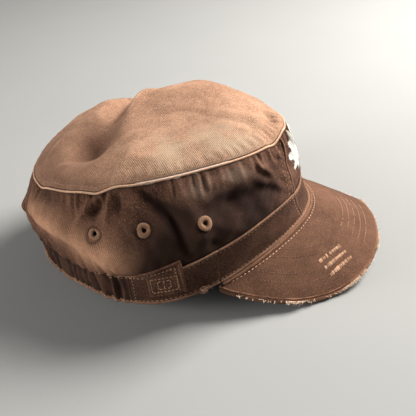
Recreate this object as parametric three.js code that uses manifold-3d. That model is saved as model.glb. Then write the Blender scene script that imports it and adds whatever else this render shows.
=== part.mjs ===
// Soft military peaked cap for a head of about 58 cm round, in millimetres.
// +X is the wearer's front, +Y the wearer's left, +Z up. The cap stands on the back of its hem and on
// the two lowest places of its peak. The group's origin is under the middle of its box, on the table.
import * as THREE from 'three';
import { mergeVertices } from 'three/addons/utils/BufferGeometryUtils.js';
import Module from 'manifold-3d';

const wasm = await Module();
wasm.setup();

// Driving dimensions. A closed line round the head runs with the angle a, 0 at the front and 180 degrees
// at the centre back: x = x0 + sum of x[k] cos ka, y = sum of y[k] sin ka, z = z0 + sum of z[k] cos ka.
const ORIGIN_X = 24.15;               // from the head line's centre forward to the middle of the cap's box
const HEM = { x0: 1.2, x: [101.3, -1.7, 5.5], y: [89.2, 3.0, -4.7], z0: 18.05, z: [20.3, 0.3] };
const TIP_SEAM = { x0: -5.5, x: [91.3, -0.3, 1.0], y: [70.5, -3.7, 0.6], z0: 92.4, z: [12.6, -4.4, 0.1, 0.3] };
const BAND_HEIGHT = 29.6;             // at the sides
const BAND_HEIGHT_FRONT_GAIN = 3.5;   // more at the front, as much less at the back
const BAND_FLARE = { x: 1.011, y: 1.052 };
const BAND_FRONT = { drop: 12, lean: 9, power: 16 };  // at the very front the band is lower and leans back
const PUFF_FRONT = 2.5;               // outward fullness of the crown wall, at the front
const PUFF_BACK = 7.0;                // and at the back, over the gathered band
const DOME_RISE = 20;                 // crown top above its seam
const DOME_RADIUS = 80;               // mean half width of the crown top

const CLOTH = 1.2;                    // a doubled and pressed layer of twill
const THIN = 0.8;                     // tapes, buckram and elastic
const GAP = 0.35;                     // between layers that touch on the real cap
const SEAM_GAP_DEG = 0.35;            // half the gap between two panels, as an angle round the head

const FRONT_SEAM_DEG = [18, 23, 18];  // front piece's side seams at the hem, the band line and the crown top
const BAND_SEAM_DEG = 104;            // where the plain band gives way to the gathered back
const PEAK_END_DEG = 64.2;            // where the peak's seam ends

const PEAK_SLOPE = -0.459;            // fall of the peak's middle line per unit forward
const PEAK_LENGTH = 118.4;            // from its ends to its front edge
const PEAK_HALF_WIDTH = 87.4;
const PEAK_ROUNDNESS = 2.32;          // exponent of the outline's rounded oblong
const PEAK_TAIL = 2;                  // how far its outline runs back past the seam's ends
const PEAK_CLEARANCE = 1.3;           // band to piping, room for the peak to flex
const PIPING_R = 1.1;
const PEAK_LAYERS = { cover: [0.5, -0.3], board: [-0.6, -1.7], lining: [-2.0, -2.5] };
const BOARD_INSET = 3.5;
const PEAK_COLUMNS = 32;
const PEAK_ROWS = 6;

const EYELET_DEG = [68.8, 91.5, 112.8];
const EYELET_LEVEL = [1.46, 1.54, 1.53];
const EYELET_R = 4.9;
const EYELET_HOLE_R = 1.9;
const EYELET_CREST = { height: 0.8, share: 0.6 };  // of its rounded top, and where across the ring it stands
const EYELET_SKIRT = 0.2;             // height of its outer edge above the cloth
const EYELET_SIDES = 16;

const TAB = { from: 80, to: 97.5, low: 0.3, high: 1.13, lift: 0.7 };
const LABEL = { from: 172, to: 188, low: 0.3, high: 0.75, thickness: 0.5 };
const TAPE = { halfDeg: 2.6, low: 1.05, high: 1.81 };
const TIP_TAPE = { low: 1.83, high: 1.93 };
const SWEATBAND = { low: 0.07, high: 0.93 };
const ELASTIC = { fromSeamDeg: 3, low: 0.2, high: 0.8 };
const STIFFENER = { share: 0.84, low: 1.06, high: 1.8 };
const EMBLEM = { halfDeg: 15, low: 1.2, high: 1.88, lift: 0.5, thickness: 0.9 };
const BAR = { rows: 3, length: 23, width: 3.2, height: 0.8, spacing: [3.9, -2.8], middle: [121.9, -49.4], deg: 44.5 };

const rad = THREE.MathUtils.degToRad;
const lerp = THREE.MathUtils.lerp;

// ---- curves and walls ------------------------------------------------------------------------------

function ringPoint(ring, deg) {
  const a = rad(deg);
  const sum = (terms, wave) => terms.reduce((total, term, k) => total + term * wave((k + 1) * a), 0);
  return new THREE.Vector3(
    ring.x0 + sum(ring.x, Math.cos), sum(ring.y, Math.sin), ring.z0 + sum(ring.z, Math.cos));
}

const seamEnd = ringPoint(HEM, PEAK_END_DEG);
const seamFront = ringPoint(HEM, 0);
const peakArch = (seamFront.z + PEAK_SLOPE * (seamEnd.x - seamFront.x) - seamEnd.z) / seamEnd.y ** 2;

// The peak is part of a cylinder whose straight lines run forward and down.
function peakHeight(x, y) {
  return seamFront.z + PEAK_SLOPE * (x - seamFront.x) - peakArch * y * y;
}

// The hem follows the peak between the seam's ends, and lies on the table at the back.
function hem(deg) {
  const p = ringPoint(HEM, deg);
  p.z = Math.abs(deg) <= PEAK_END_DEG ? peakHeight(p.x, p.y) : Math.max(0, p.z);
  return p;
}

function bandLine(deg) {
  const p = hem(deg);
  const frontness = ((1 + Math.cos(rad(deg))) / 2) ** BAND_FRONT.power;
  const rise = BAND_HEIGHT + BAND_HEIGHT_FRONT_GAIN * Math.cos(rad(deg)) - BAND_FRONT.drop * frontness;
  return new THREE.Vector3(p.x * BAND_FLARE.x - BAND_FRONT.lean * frontness, p.y * BAND_FLARE.y, p.z + rise);
}

function tipSeam(deg) {
  return ringPoint(TIP_SEAM, deg);
}

function outward(line, deg) {
  const along = line(deg + 0.5).sub(line(deg - 0.5));
  return new THREE.Vector3(along.y, -along.x, 0).normalize();
}

// Outer face of the cap's wall: level 0 is the hem, 1 the band line and 2 the crown top's seam.
function wall(deg, level) {
  if (level <= 1) return hem(deg).lerp(bandLine(deg), level);
  const up = level - 1;
  const backness = (1 - Math.cos(rad(deg))) / 2;
  const puff = lerp(PUFF_FRONT, PUFF_BACK, backness) * Math.sin(Math.PI * up) ** 0.8;
  return bandLine(deg).lerp(tipSeam(deg), up).addScaledVector(outward(bandLine, deg), puff);
}

// Outer face of the crown top: share 0 is its middle and 1 its seam.
function dome(deg, share) {
  const rim = tipSeam(deg);
  const middle = new THREE.Vector3(TIP_SEAM.x0, 0, TIP_SEAM.z0 + DOME_RISE);
  const p = middle.clone().lerp(rim, share);
  p.z = rim.z + (middle.z - rim.z) * (1 - share ** 2.4) ** 0.8;
  return p;
}

// ---- closed sheets ---------------------------------------------------------------------------------

// The wall moved inward by depth. The band's layers stay level, so that their lower edges lie flat.
function insideWall(depth) {
  const crown = inside(wall, depth);
  return (deg, level) => (level > 1 ? crown(deg, level)
    : wall(deg, level).addScaledVector(outward(hem, deg), -depth));
}

// A face moved inward by depth, square to itself.
function inside(face, depth) {
  return (u, v) => {
    const step = 0.01;
    const along = face(u + step, v).sub(face(u - step, v));
    const across = face(u, Math.min(v + step, 2)).sub(face(u, v - step));
    const normal = along.cross(across).normalize();
    return face(u, v).addScaledVector(normal, -depth);
  };
}

function levels(from, to, count) {
  return Array.from({ length: count + 1 }, (_, i) => lerp(from, to, i / count));
}

// A closed body between two grids of points with the same rows: the outer one faces out, u runs
// anticlockwise seen from above and v runs up. A looped body joins its last column to its first.
function bodyBetween(outer, inner, us, vs, looped) {
  const columns = looped ? us.length - 1 : us.length;
  const rows = vs.length;
  const points = [];
  for (const face of [outer, inner]) {
    for (let i = 0; i < columns; i += 1) {
      for (const v of vs) points.push(face(us[i], v));
    }
  }
  const at = (layer, i, j) => layer * columns * rows + (i % columns) * rows + j;
  const faces = [];
  const quad = (p, q, r, s) => faces.push(p, q, r, p, r, s);
  const spans = looped ? columns : columns - 1;
  for (let i = 0; i < spans; i += 1) {
    for (let j = 0; j < rows - 1; j += 1) {
      quad(at(0, i, j), at(0, i + 1, j), at(0, i + 1, j + 1), at(0, i, j + 1));
      quad(at(1, i, j), at(1, i, j + 1), at(1, i + 1, j + 1), at(1, i + 1, j));
    }
    quad(at(1, i, 0), at(1, i + 1, 0), at(0, i + 1, 0), at(0, i, 0));
    const top = rows - 1;
    quad(at(0, i, top), at(0, i + 1, top), at(1, i + 1, top), at(1, i, top));
  }
  if (!looped) {
    const last = columns - 1;
    for (let j = 0; j < rows - 1; j += 1) {
      quad(at(0, 0, j), at(0, 0, j + 1), at(1, 0, j + 1), at(1, 0, j));
      quad(at(0, last, j), at(1, last, j), at(1, last, j + 1), at(0, last, j + 1));
    }
  }
  const geometry = new THREE.BufferGeometry();
  geometry.setAttribute('position', new THREE.Float32BufferAttribute(points.flatMap((p) => p.toArray()), 3));
  geometry.setIndex(faces);
  return geometry;
}

// A layer of the wall between two depths, over a span of degrees and a span of levels.
function wallLayer({ from, to, low, high, depth, thickness, stepDeg = 6, rows = 2, looped = false }) {
  const count = Math.max(2, Math.round((to - from) / stepDeg));
  const outer = insideWall(depth);
  const inner = insideWall(depth + thickness);
  return bodyBetween(outer, inner, levels(from, to, count), levels(low, high, rows), looped);
}

// ---- solids for booleans ---------------------------------------------------------------------------

function toSolid(geometry) {
  const bare = geometry.clone();
  bare.deleteAttribute('normal');
  bare.deleteAttribute('uv');
  const merged = mergeVertices(bare, 1e-3);
  return new wasm.Manifold(new wasm.Mesh({
    numProp: 3,
    vertProperties: new Float32Array(merged.attributes.position.array),
    triVerts: new Uint32Array(merged.index.array),
  }));
}

function toGeometry(solid) {
  const made = solid.getMesh();
  const geometry = new THREE.BufferGeometry();
  geometry.setAttribute('position', new THREE.BufferAttribute(made.vertProperties, 3));
  geometry.setIndex(new THREE.BufferAttribute(made.triVerts, 1));
  return geometry;
}

// ---- the group -------------------------------------------------------------------------------------

const materials = {
  twill: new THREE.MeshStandardMaterial({ color: 0x7a5c4e, roughness: 0.95, metalness: 0 }),
  lining: new THREE.MeshStandardMaterial({ color: 0x3f2f2a, roughness: 0.95, metalness: 0 }),
  sweatband: new THREE.MeshStandardMaterial({ color: 0x9c7d69, roughness: 0.95, metalness: 0 }),
  stiffener: new THREE.MeshStandardMaterial({ color: 0xe3ddd0, roughness: 0.9, metalness: 0 }),
  board: new THREE.MeshStandardMaterial({ color: 0xe9e9e6, roughness: 0.6, metalness: 0 }),
  thread: new THREE.MeshStandardMaterial({ color: 0xa07c5e, roughness: 0.7, metalness: 0 }),
  emblem: new THREE.MeshStandardMaterial({ color: 0xf4f1ea, roughness: 0.8, metalness: 0 }),
  label: new THREE.MeshStandardMaterial({ color: 0xdedbd2, roughness: 0.8, metalness: 0 }),
};

const cap = new THREE.Group();
cap.position.x = -ORIGIN_X;

function add(name, geometry, material) {
  geometry.computeVertexNormals();
  const mesh = new THREE.Mesh(geometry, material);
  mesh.name = name;
  cap.add(mesh);
  return mesh;
}

const SIDES = [{ name: 'right', sign: -1 }, { name: 'left', sign: 1 }];

// ---- crown -----------------------------------------------------------------------------------------

const DOME_SHARES = [0.06, 0.3, 0.55, 0.75, 0.88, 0.96, 0.992];   // rings of points, crowding to the seam

// The crown top's inner face is the same dome, a cloth's thickness smaller and lower.
function crownTop() {
  const shares = DOME_SHARES;
  const sink = (deg, share) => {
    const p = dome(deg, share);
    const middle = dome(0, 0);
    const shrink = 1 - CLOTH / DOME_RADIUS;
    return new THREE.Vector3(lerp(middle.x, p.x, shrink), p.y * shrink, p.z - CLOTH);
  };
  const degs = levels(-180, 180, 48);
  const ringCount = degs.length - 1;
  const points = [];
  for (const face of [dome, sink]) {
    points.push(face(0, 0));
    for (const share of shares) {
      for (let i = 0; i < ringCount; i += 1) points.push(face(degs[i], share));
    }
  }
  const layerSize = 1 + shares.length * ringCount;
  const at = (layer, ring, i) => layer * layerSize + 1 + ring * ringCount + (i % ringCount);
  const faces = [];
  for (let i = 0; i < ringCount; i += 1) {
    faces.push(0, at(0, 0, i), at(0, 0, i + 1));
    faces.push(layerSize, at(1, 0, i + 1), at(1, 0, i));
    for (let ring = 0; ring < shares.length - 1; ring += 1) {
      const [p, q, r, s] = [at(0, ring, i), at(0, ring + 1, i), at(0, ring + 1, i + 1), at(0, ring, i + 1)];
      faces.push(p, q, r, p, r, s);
      const [d, e, f, g] = [at(1, ring, i), at(1, ring, i + 1), at(1, ring + 1, i + 1), at(1, ring + 1, i)];
      faces.push(d, e, f, d, f, g);
    }
    const rim = shares.length - 1;
    const [p, q, r, s] = [at(0, rim, i), at(1, rim, i), at(1, rim, i + 1), at(0, rim, i + 1)];
    faces.push(p, q, r, p, r, s);
  }
  const geometry = new THREE.BufferGeometry();
  geometry.setAttribute('position', new THREE.Float32BufferAttribute(points.flatMap((p) => p.toArray()), 3));
  geometry.setIndex(faces);
  return geometry;
}
add('crown_top', crownTop(), materials.twill);

const CROWN_LOW = 1.012;              // wall level of the crown panels' lower edge, just over the band
const CROWN_HIGH = 1.965;             // and of their upper edge, just under the crown top

// The front seams lean, in a straight line from one level to the next.
function frontSeamDeg(level) {
  const [hemDeg, lineDeg, tipDeg] = FRONT_SEAM_DEG;
  return level < 1 ? lerp(hemDeg, lineDeg, level) : lerp(lineDeg, tipDeg, level - 1);
}

// A layer whose columns lean: span gives its two edges' angles at each level.
function leaningLayer({ span, low, high, depth, thickness, columns, rows }) {
  const layer = (face) => (share, level) => {
    const [from, to] = span(level);
    return face(lerp(from, to, share), level);
  };
  return bodyBetween(layer(insideWall(depth)), layer(insideWall(depth + thickness)),
    levels(0, 1, columns), levels(low, high, rows), false);
}

function frontSpan(level) {
  const half = frontSeamDeg(level) - SEAM_GAP_DEG;
  return [-half, half];
}
function sideSpanAt(sign, level, far) {
  const near = frontSeamDeg(level) + SEAM_GAP_DEG;
  const end = far - SEAM_GAP_DEG;
  return sign < 0 ? [-end, -near] : [near, end];
}
add('front_panel', leaningLayer({
  span: frontSpan, low: CROWN_LOW, high: CROWN_HIGH, depth: 0, thickness: CLOTH, columns: 12, rows: 5,
}), materials.twill);

add('front_stiffener', leaningLayer({
  span: (level) => frontSpan(level).map((deg) => STIFFENER.share * deg),
  low: STIFFENER.low, high: STIFFENER.high, depth: CLOTH + GAP, thickness: THIN, columns: 8, rows: 4,
}), materials.stiffener);

// Where an eyelet sits: its middle on the wall and the wall's outward direction there.
function eyeletSeat(sign, index) {
  const deg = sign * EYELET_DEG[index];
  const level = EYELET_LEVEL[index];
  const middle = wall(deg, level);
  const normal = middle.clone().sub(inside(wall, 1)(deg, level)).normalize();
  return { middle, normal };
}

function turnedTo(geometry, seat) {
  const turn = new THREE.Quaternion().setFromUnitVectors(new THREE.Vector3(0, 1, 0), seat.normal);
  return geometry.applyQuaternion(turn).translate(seat.middle.x, seat.middle.y, seat.middle.z);
}

for (const side of SIDES) {
  let panel = toSolid(leaningLayer({
    span: (level) => sideSpanAt(side.sign, level, 180),
    low: CROWN_LOW, high: CROWN_HIGH, depth: 0, thickness: CLOTH, columns: 28, rows: 5,
  }));
  EYELET_DEG.forEach((_, index) => {
    const seat = eyeletSeat(side.sign, index);
    const holeR = EYELET_R + GAP;
    const hole = new THREE.CylinderGeometry(holeR, holeR, 12, EYELET_SIDES);
    panel = panel.subtract(toSolid(turnedTo(hole, seat)));
    const ring = new THREE.LatheGeometry([
      new THREE.Vector2(EYELET_HOLE_R, -CLOTH), new THREE.Vector2(EYELET_R, -CLOTH),
      new THREE.Vector2(EYELET_R, EYELET_SKIRT),
      new THREE.Vector2(lerp(EYELET_HOLE_R, EYELET_R, EYELET_CREST.share), EYELET_CREST.height),
      new THREE.Vector2(EYELET_HOLE_R, EYELET_SKIRT), new THREE.Vector2(EYELET_HOLE_R, -CLOTH),
    ], EYELET_SIDES);
    add(`eyelet_${side.name}_${index + 1}`, turnedTo(ring, seat), materials.thread);
  });
  add(`side_panel_${side.name}`, toGeometry(panel), materials.twill);
}

// ---- band ------------------------------------------------------------------------------------------

const BAND_HIGH = 0.985;              // wall level of the band's upper edge, just under the crown panels

function bandPiece(name, span, columns) {
  add(name, leaningLayer({
    span, low: 0, high: BAND_HIGH, depth: 0, thickness: CLOTH, columns, rows: 2,
  }), materials.twill);
}
bandPiece('band_front', frontSpan, 12);
for (const side of SIDES) {
  bandPiece(`band_side_${side.name}`, (level) => sideSpanAt(side.sign, level, BAND_SEAM_DEG), 16);
}
bandPiece('band_back', () => [BAND_SEAM_DEG + SEAM_GAP_DEG, 360 - BAND_SEAM_DEG - SEAM_GAP_DEG], 30);

add('back_elastic', wallLayer({
  from: BAND_SEAM_DEG + ELASTIC.fromSeamDeg, to: 360 - BAND_SEAM_DEG - ELASTIC.fromSeamDeg,
  low: ELASTIC.low, high: ELASTIC.high, depth: CLOTH + GAP, thickness: THIN,
}), materials.stiffener);

const SWEATBAND_DEPTH = CLOTH + THIN + 2 * GAP;
add('sweatband', wallLayer({
  from: -180, to: 180, low: SWEATBAND.low, high: SWEATBAND.high, depth: SWEATBAND_DEPTH, thickness: CLOTH,
  looped: true,
}), materials.sweatband);

add('care_label', wallLayer({
  from: LABEL.from, to: LABEL.to, low: LABEL.low, high: LABEL.high,
  depth: SWEATBAND_DEPTH + CLOTH + GAP, thickness: LABEL.thickness,
}), materials.label);

// ---- seam tapes inside the crown -------------------------------------------------------------------

add('tip_seam_tape', wallLayer({
  from: -180, to: 180, low: TIP_TAPE.low, high: TIP_TAPE.high, depth: CLOTH + GAP, thickness: THIN,
  rows: 1, looped: true,
}), materials.lining);

for (const side of SIDES) {
  add(`front_seam_tape_${side.name}`, leaningLayer({
    span: (level) => [-1, 1].map((edge) => side.sign * frontSeamDeg(level) + edge * TAPE.halfDeg),
    low: TAPE.low, high: TAPE.high, depth: CLOTH + THIN + 2 * GAP, thickness: THIN, columns: 2, rows: 4,
  }), materials.lining);
}
add('back_seam_tape', wallLayer({
  from: 180 - TAPE.halfDeg, to: 180 + TAPE.halfDeg, low: TAPE.low, high: TAPE.high,
  depth: CLOTH + GAP, thickness: THIN, rows: 4,
}), materials.lining);

// ---- side tabs and front emblem --------------------------------------------------------------------

for (const side of SIDES) {
  const [from, to] = side.sign < 0 ? [-TAB.to, -TAB.from] : [TAB.from, TAB.to];
  add(`side_tab_${side.name}`, wallLayer({
    from, to, low: TAB.low, high: TAB.high, depth: -TAB.lift - CLOTH, thickness: CLOTH, stepDeg: 3, rows: 6,
  }), materials.twill);
}

add('front_emblem', wallLayer({
  from: -EMBLEM.halfDeg, to: EMBLEM.halfDeg, low: EMBLEM.low, high: EMBLEM.high,
  depth: -EMBLEM.lift - EMBLEM.thickness, thickness: EMBLEM.thickness, stepDeg: 3, rows: 4,
}), materials.emblem);

// ---- peak ------------------------------------------------------------------------------------------

// Inner edge of the peak, outside the band by the given distance. share runs 0 to 1 from right to left.
function peakInner(share, distance) {
  const deg = lerp(-PEAK_END_DEG, PEAK_END_DEG, share);
  return hem(deg).addScaledVector(outward(hem, deg), distance);
}

// Outer edge: a rounded oblong, its inset measured square to the edge.
function peakOuter(share, inset) {
  const side = Math.sin(lerp(-Math.PI / 2, Math.PI / 2, share));
  const forward = (1 - Math.abs(side) ** PEAK_ROUNDNESS) ** (1 / PEAK_ROUNDNESS);
  return new THREE.Vector3(
    seamEnd.x - PEAK_TAIL + (PEAK_LENGTH + PEAK_TAIL - inset) * forward, (PEAK_HALF_WIDTH - inset) * side, 0);
}

// A layer of the peak: share runs along the seam and reach from the seam (0) to the outer edge (1).
function peakFace(height, innerDistance, inset) {
  return (share, reach) => {
    const p = peakInner(share, innerDistance).lerp(peakOuter(share, inset), reach);
    p.z = peakHeight(p.x, p.y) + height;
    return p;
  };
}

const PEAK_START = PEAK_CLEARANCE + 2 * PIPING_R + GAP;
const BOARD_END_TRIM = 0.03;          // the board stops this share short of the seam's ends
const BOARD_SEAM_INSET = 2;

// Shares crowd towards the ends, where the outline turns sharply.
function peakShares(endTrim) {
  return levels(-1, 1, PEAK_COLUMNS).map((s) => 0.5 + (0.5 - endTrim) * Math.sin(s * Math.PI / 2));
}

function peakLayer([top, bottom], innerDistance, inset, endTrim) {
  const upper = peakFace(top, innerDistance, inset);
  const lower = peakFace(bottom, innerDistance, inset);
  const shares = peakShares(endTrim);
  return bodyBetween((reach, share) => upper(share, reach), (reach, share) => lower(share, reach),
    levels(0, 1, PEAK_ROWS), shares, false);
}

// The top cover turns down over the board at the edge.
function peakCover() {
  const [top, bottom] = PEAK_LAYERS.cover;
  const edgeBottom = PEAK_LAYERS.lining[0] + GAP;
  const flat = peakFace(0, PEAK_START, 0);
  const flatInset = peakFace(0, PEAK_START, CLOTH);
  const lifted = (p, height) => p.setZ(peakHeight(p.x, p.y) + height);
  // Past reach 1 the cover goes down the edge.
  const upper = (reach, share) => lifted(flat(share, Math.min(reach, 1)), reach > 1 ? edgeBottom : top);
  const lower = (reach, share) => lifted(flatInset(share, Math.min(reach, 1)), reach > 1 ? edgeBottom : bottom);
  return bodyBetween(upper, lower, [...levels(0, 1, PEAK_ROWS), 2], peakShares(0), false);
}

add('peak_cover', peakCover(), materials.twill);
add('peak_board',
  peakLayer(PEAK_LAYERS.board, PEAK_START + BOARD_SEAM_INSET, BOARD_INSET, BOARD_END_TRIM), materials.board);
add('peak_lining', peakLayer(PEAK_LAYERS.lining, PEAK_START, 0, 0), materials.twill);

class PipingLine extends THREE.Curve {
  getPoint(share) {
    const p = peakInner(share, PEAK_CLEARANCE + PIPING_R);
    return p.setZ(peakHeight(p.x, p.y) + PIPING_R / 2);
  }
}
const pipingSection = new THREE.Shape().absarc(0, 0, PIPING_R, 0, 2 * Math.PI);
add('peak_piping', new THREE.ExtrudeGeometry(pipingSection, {
  steps: 32, curveSegments: 4, bevelEnabled: false, extrudePath: new PipingLine(),
}), materials.twill);

// Rows of satin stitch on the wearer's right of the peak.
for (let row = 0; row < BAR.rows; row += 1) {
  const along = new THREE.Vector2(Math.cos(rad(BAR.deg)), Math.sin(rad(BAR.deg)));
  const shift = row - (BAR.rows - 1) / 2;
  const middle = new THREE.Vector2(BAR.middle[0] + shift * BAR.spacing[0], BAR.middle[1] + shift * BAR.spacing[1]);
  const face = (height) => (share, width) => {
    const run = (share - 0.5) * BAR.length;
    const side = (width - 0.5) * BAR.width;
    const x = middle.x + run * along.x - side * along.y;
    const y = middle.y + run * along.y + side * along.x;
    return new THREE.Vector3(x, y, peakHeight(x, y) + height);
  };
  const base = PEAK_LAYERS.cover[0] + GAP;
  add(`peak_bar_${row + 1}`,
    bodyBetween(face(base + BAR.height), face(base), levels(0, 1, 4), levels(0, 1, 2), false), materials.thread);
}

export default cap;
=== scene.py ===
"""Soft military peaked cap: a washed cotton twill crown with a slumped top, worked vent eyelets, a gathered
band and a stiffened, frayed peak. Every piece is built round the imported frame, in its axes: +X is the
wearer's front, +Y the wearer's left and +Z up. Shapes are worked out in millimetres."""
from math import pi

import bmesh
import bpy
import numpy as np
from mathutils import Matrix, Vector


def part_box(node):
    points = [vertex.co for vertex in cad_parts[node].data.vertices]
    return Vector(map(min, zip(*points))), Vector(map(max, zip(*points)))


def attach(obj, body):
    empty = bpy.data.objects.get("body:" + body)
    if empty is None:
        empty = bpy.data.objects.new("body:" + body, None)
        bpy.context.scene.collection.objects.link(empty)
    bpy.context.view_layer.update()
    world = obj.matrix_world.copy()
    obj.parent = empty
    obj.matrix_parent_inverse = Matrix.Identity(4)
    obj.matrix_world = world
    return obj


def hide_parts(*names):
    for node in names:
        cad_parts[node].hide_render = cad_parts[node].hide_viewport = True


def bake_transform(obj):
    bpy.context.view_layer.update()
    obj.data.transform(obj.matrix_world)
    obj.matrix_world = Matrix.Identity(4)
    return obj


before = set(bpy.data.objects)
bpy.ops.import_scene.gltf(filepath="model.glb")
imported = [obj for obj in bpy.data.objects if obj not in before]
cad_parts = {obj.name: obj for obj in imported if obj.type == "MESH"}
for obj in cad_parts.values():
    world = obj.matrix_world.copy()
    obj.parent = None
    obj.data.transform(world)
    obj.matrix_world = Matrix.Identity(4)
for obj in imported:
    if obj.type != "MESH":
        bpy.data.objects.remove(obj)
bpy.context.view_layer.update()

bl_info = {
    "name": "Military Peaked Cap",
    "version": (1, 0, 0),
    "blender": (4, 5, 0),
    "location": "3D Viewport > Sidebar > Cap",
    "description": "Builds a washed twill peaked cap, piece by piece, round its frame",
    "category": "Add Mesh",
}

MM = 0.001

# ---- the cap's own lines, in mm and degrees round the head (0 front, 180 back, right is minus) ----

HEM = dict(x0=1.2, x=(101.3, -1.7, 5.5), y=(89.2, 3.0, -4.7), z0=18.05, z=(20.3, 0.3))
TIP = dict(x0=-5.5, x=(91.3, -0.3, 1.0), y=(70.5, -3.7, 0.6), z0=92.4, z=(12.6, -4.4, 0.1, 0.3))
BAND_HEIGHT, BAND_FRONT_GAIN = 29.6, 3.5
BAND_FLARE_X, BAND_FLARE_Y = 1.011, 1.052
BAND_FRONT_DROP, BAND_FRONT_LEAN, BAND_FRONT_POWER = 12.0, 9.0, 16
FRONT_SEAM = ((0.0, 1.0, 2.0), (18.0, 23.0, 18.0))     # level and angle of the front pieces' side seams
BAND_SEAM = 104.0
PEAK_END = 64.2
PEAK_SLOPE, PEAK_LENGTH, PEAK_HALF_WIDTH = -0.459, 118.4, 87.4
PEAK_ROUNDNESS, PEAK_TAIL = 2.32, 2.0
EYELETS = ((68.8, 1.46), (91.5, 1.54), (112.8, 1.53))
MM_PER_DEG = 1.72                                      # along the wall, about halfway up
WALL_RISE = 52.0                                       # slant height of the crown wall at the sides
BAND_RISE = 30.0                                       # height of the band, for its folds and its cloth
CROWN_RISE = 18.5                                      # height of the crown top's plain cushion over its seam
BACK_SAG = 6.5                                         # how far the full crown sags over the gathered back
PLEAT_PITCH = 8.5                                      # from pleat to pleat along the gathered back
EYELET_RADIUS, EYELET_CORD = 3.2, 1.7                  # middle of an eyelet's thread ring, and half its width
PANEL_LEVELS = (1.004, 1.985)                          # lower and upper edge of the crown's panels
BAND_LEVELS = (0.0, 0.992)                             # lower and upper edge of the band
MATTE = 0.08                                           # specular level of cloth, thread and paper


# ---- curves and surfaces ------------------------------------------------------------------------------------

def ring(line, deg):
    """A closed line round the head: x0 plus a cosine sum along X, a sine sum along Y, z0 plus a cosine sum."""
    a = np.radians(deg)
    x = line["x0"] + sum(c * np.cos((k + 1) * a) for k, c in enumerate(line["x"]))
    y = sum(c * np.sin((k + 1) * a) for k, c in enumerate(line["y"]))
    z = line["z0"] + sum(c * np.cos((k + 1) * a) for k, c in enumerate(line["z"]))
    return np.stack([x, y, z + 0.0 * x], -1)


SEAM_END = ring(HEM, np.array(PEAK_END))
SEAM_FRONT = ring(HEM, np.array(0.0))
PEAK_ARCH = (SEAM_FRONT[2] + PEAK_SLOPE * (SEAM_END[0] - SEAM_FRONT[0]) - SEAM_END[2]) / SEAM_END[1] ** 2
ORIGIN_X = ring(HEM, np.array(180.0))[0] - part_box("band_back")[0].x / MM


def peak_height(x, y):
    """Height of the peak: a cylinder whose straight lines run forward and down."""
    return SEAM_FRONT[2] + PEAK_SLOPE * (x - SEAM_FRONT[0]) - PEAK_ARCH * y ** 2


def unit(vectors):
    """Vectors brought to length 1."""
    return vectors / np.linalg.norm(vectors, axis=-1, keepdims=True)


def signed(deg):
    """An angle brought between -180 and 180."""
    return (deg + 180) % 360 - 180


def smooth(low, high, x):
    """0 below low, 1 above high, with a smooth turn between."""
    t = np.clip((x - low) / (high - low), 0, 1)
    return t * t * (3 - 2 * t)


def bump(x, middle, width):
    """A bell of height 1."""
    return np.exp(-((x - middle) / width) ** 2)


def ripple(x, y, size, seed, waves=9):
    """Even cloth unevenness of about unit size: sine waves of many directions added up."""
    rng = np.random.default_rng(seed)
    total = 0.0
    for turn, phase, stretch in rng.uniform((0, 0, 0.7), (pi, 2 * pi, 1.5), (waves, 3)):
        total = total + np.sin((x * np.cos(turn) + y * np.sin(turn)) * 2 * pi / (size * stretch) + phase)
    return total / np.sqrt(waves)


def fold(x, y, start, end, width, height):
    """A soft ridge (or a groove, with a minus) along a straight line, fading at both its ends."""
    (x0, y0), (x1, y1) = start, end
    dx, dy = x1 - x0, y1 - y0
    run = np.clip(((x - x0) * dx + (y - y0) * dy) / (dx * dx + dy * dy), 0, 1)
    away = np.hypot(x - x0 - run * dx, y - y0 - run * dy)
    return height * np.exp(-(away / width) ** 2) * (0.25 + 0.75 * np.sin(pi * run))


def hem(deg):
    """The lower edge: on the peak between the seam's ends, and flat on the table at the back."""
    p = ring(HEM, deg)
    front = np.abs(signed(deg)) <= PEAK_END
    p[..., 2] = np.where(front, peak_height(p[..., 0], p[..., 1]), np.maximum(p[..., 2], 0))
    return p


def band_line(deg):
    """The seam between band and crown: the hem, a little wider and a band's height up. At the very front the
    band is lower and leans back."""
    p = hem(deg)
    frontness = ((1 + np.cos(np.radians(deg))) / 2) ** BAND_FRONT_POWER
    p[..., 0] = p[..., 0] * BAND_FLARE_X - BAND_FRONT_LEAN * frontness
    p[..., 1] *= BAND_FLARE_Y
    p[..., 2] += BAND_HEIGHT + BAND_FRONT_GAIN * np.cos(np.radians(deg)) - BAND_FRONT_DROP * frontness
    return p


def outward(deg):
    """Level outward direction of the hem."""
    along = ring(HEM, deg + 0.5) - ring(HEM, deg - 0.5)
    n = np.stack([along[..., 1], -along[..., 0], 0 * along[..., 0]], -1)
    return unit(n)


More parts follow.
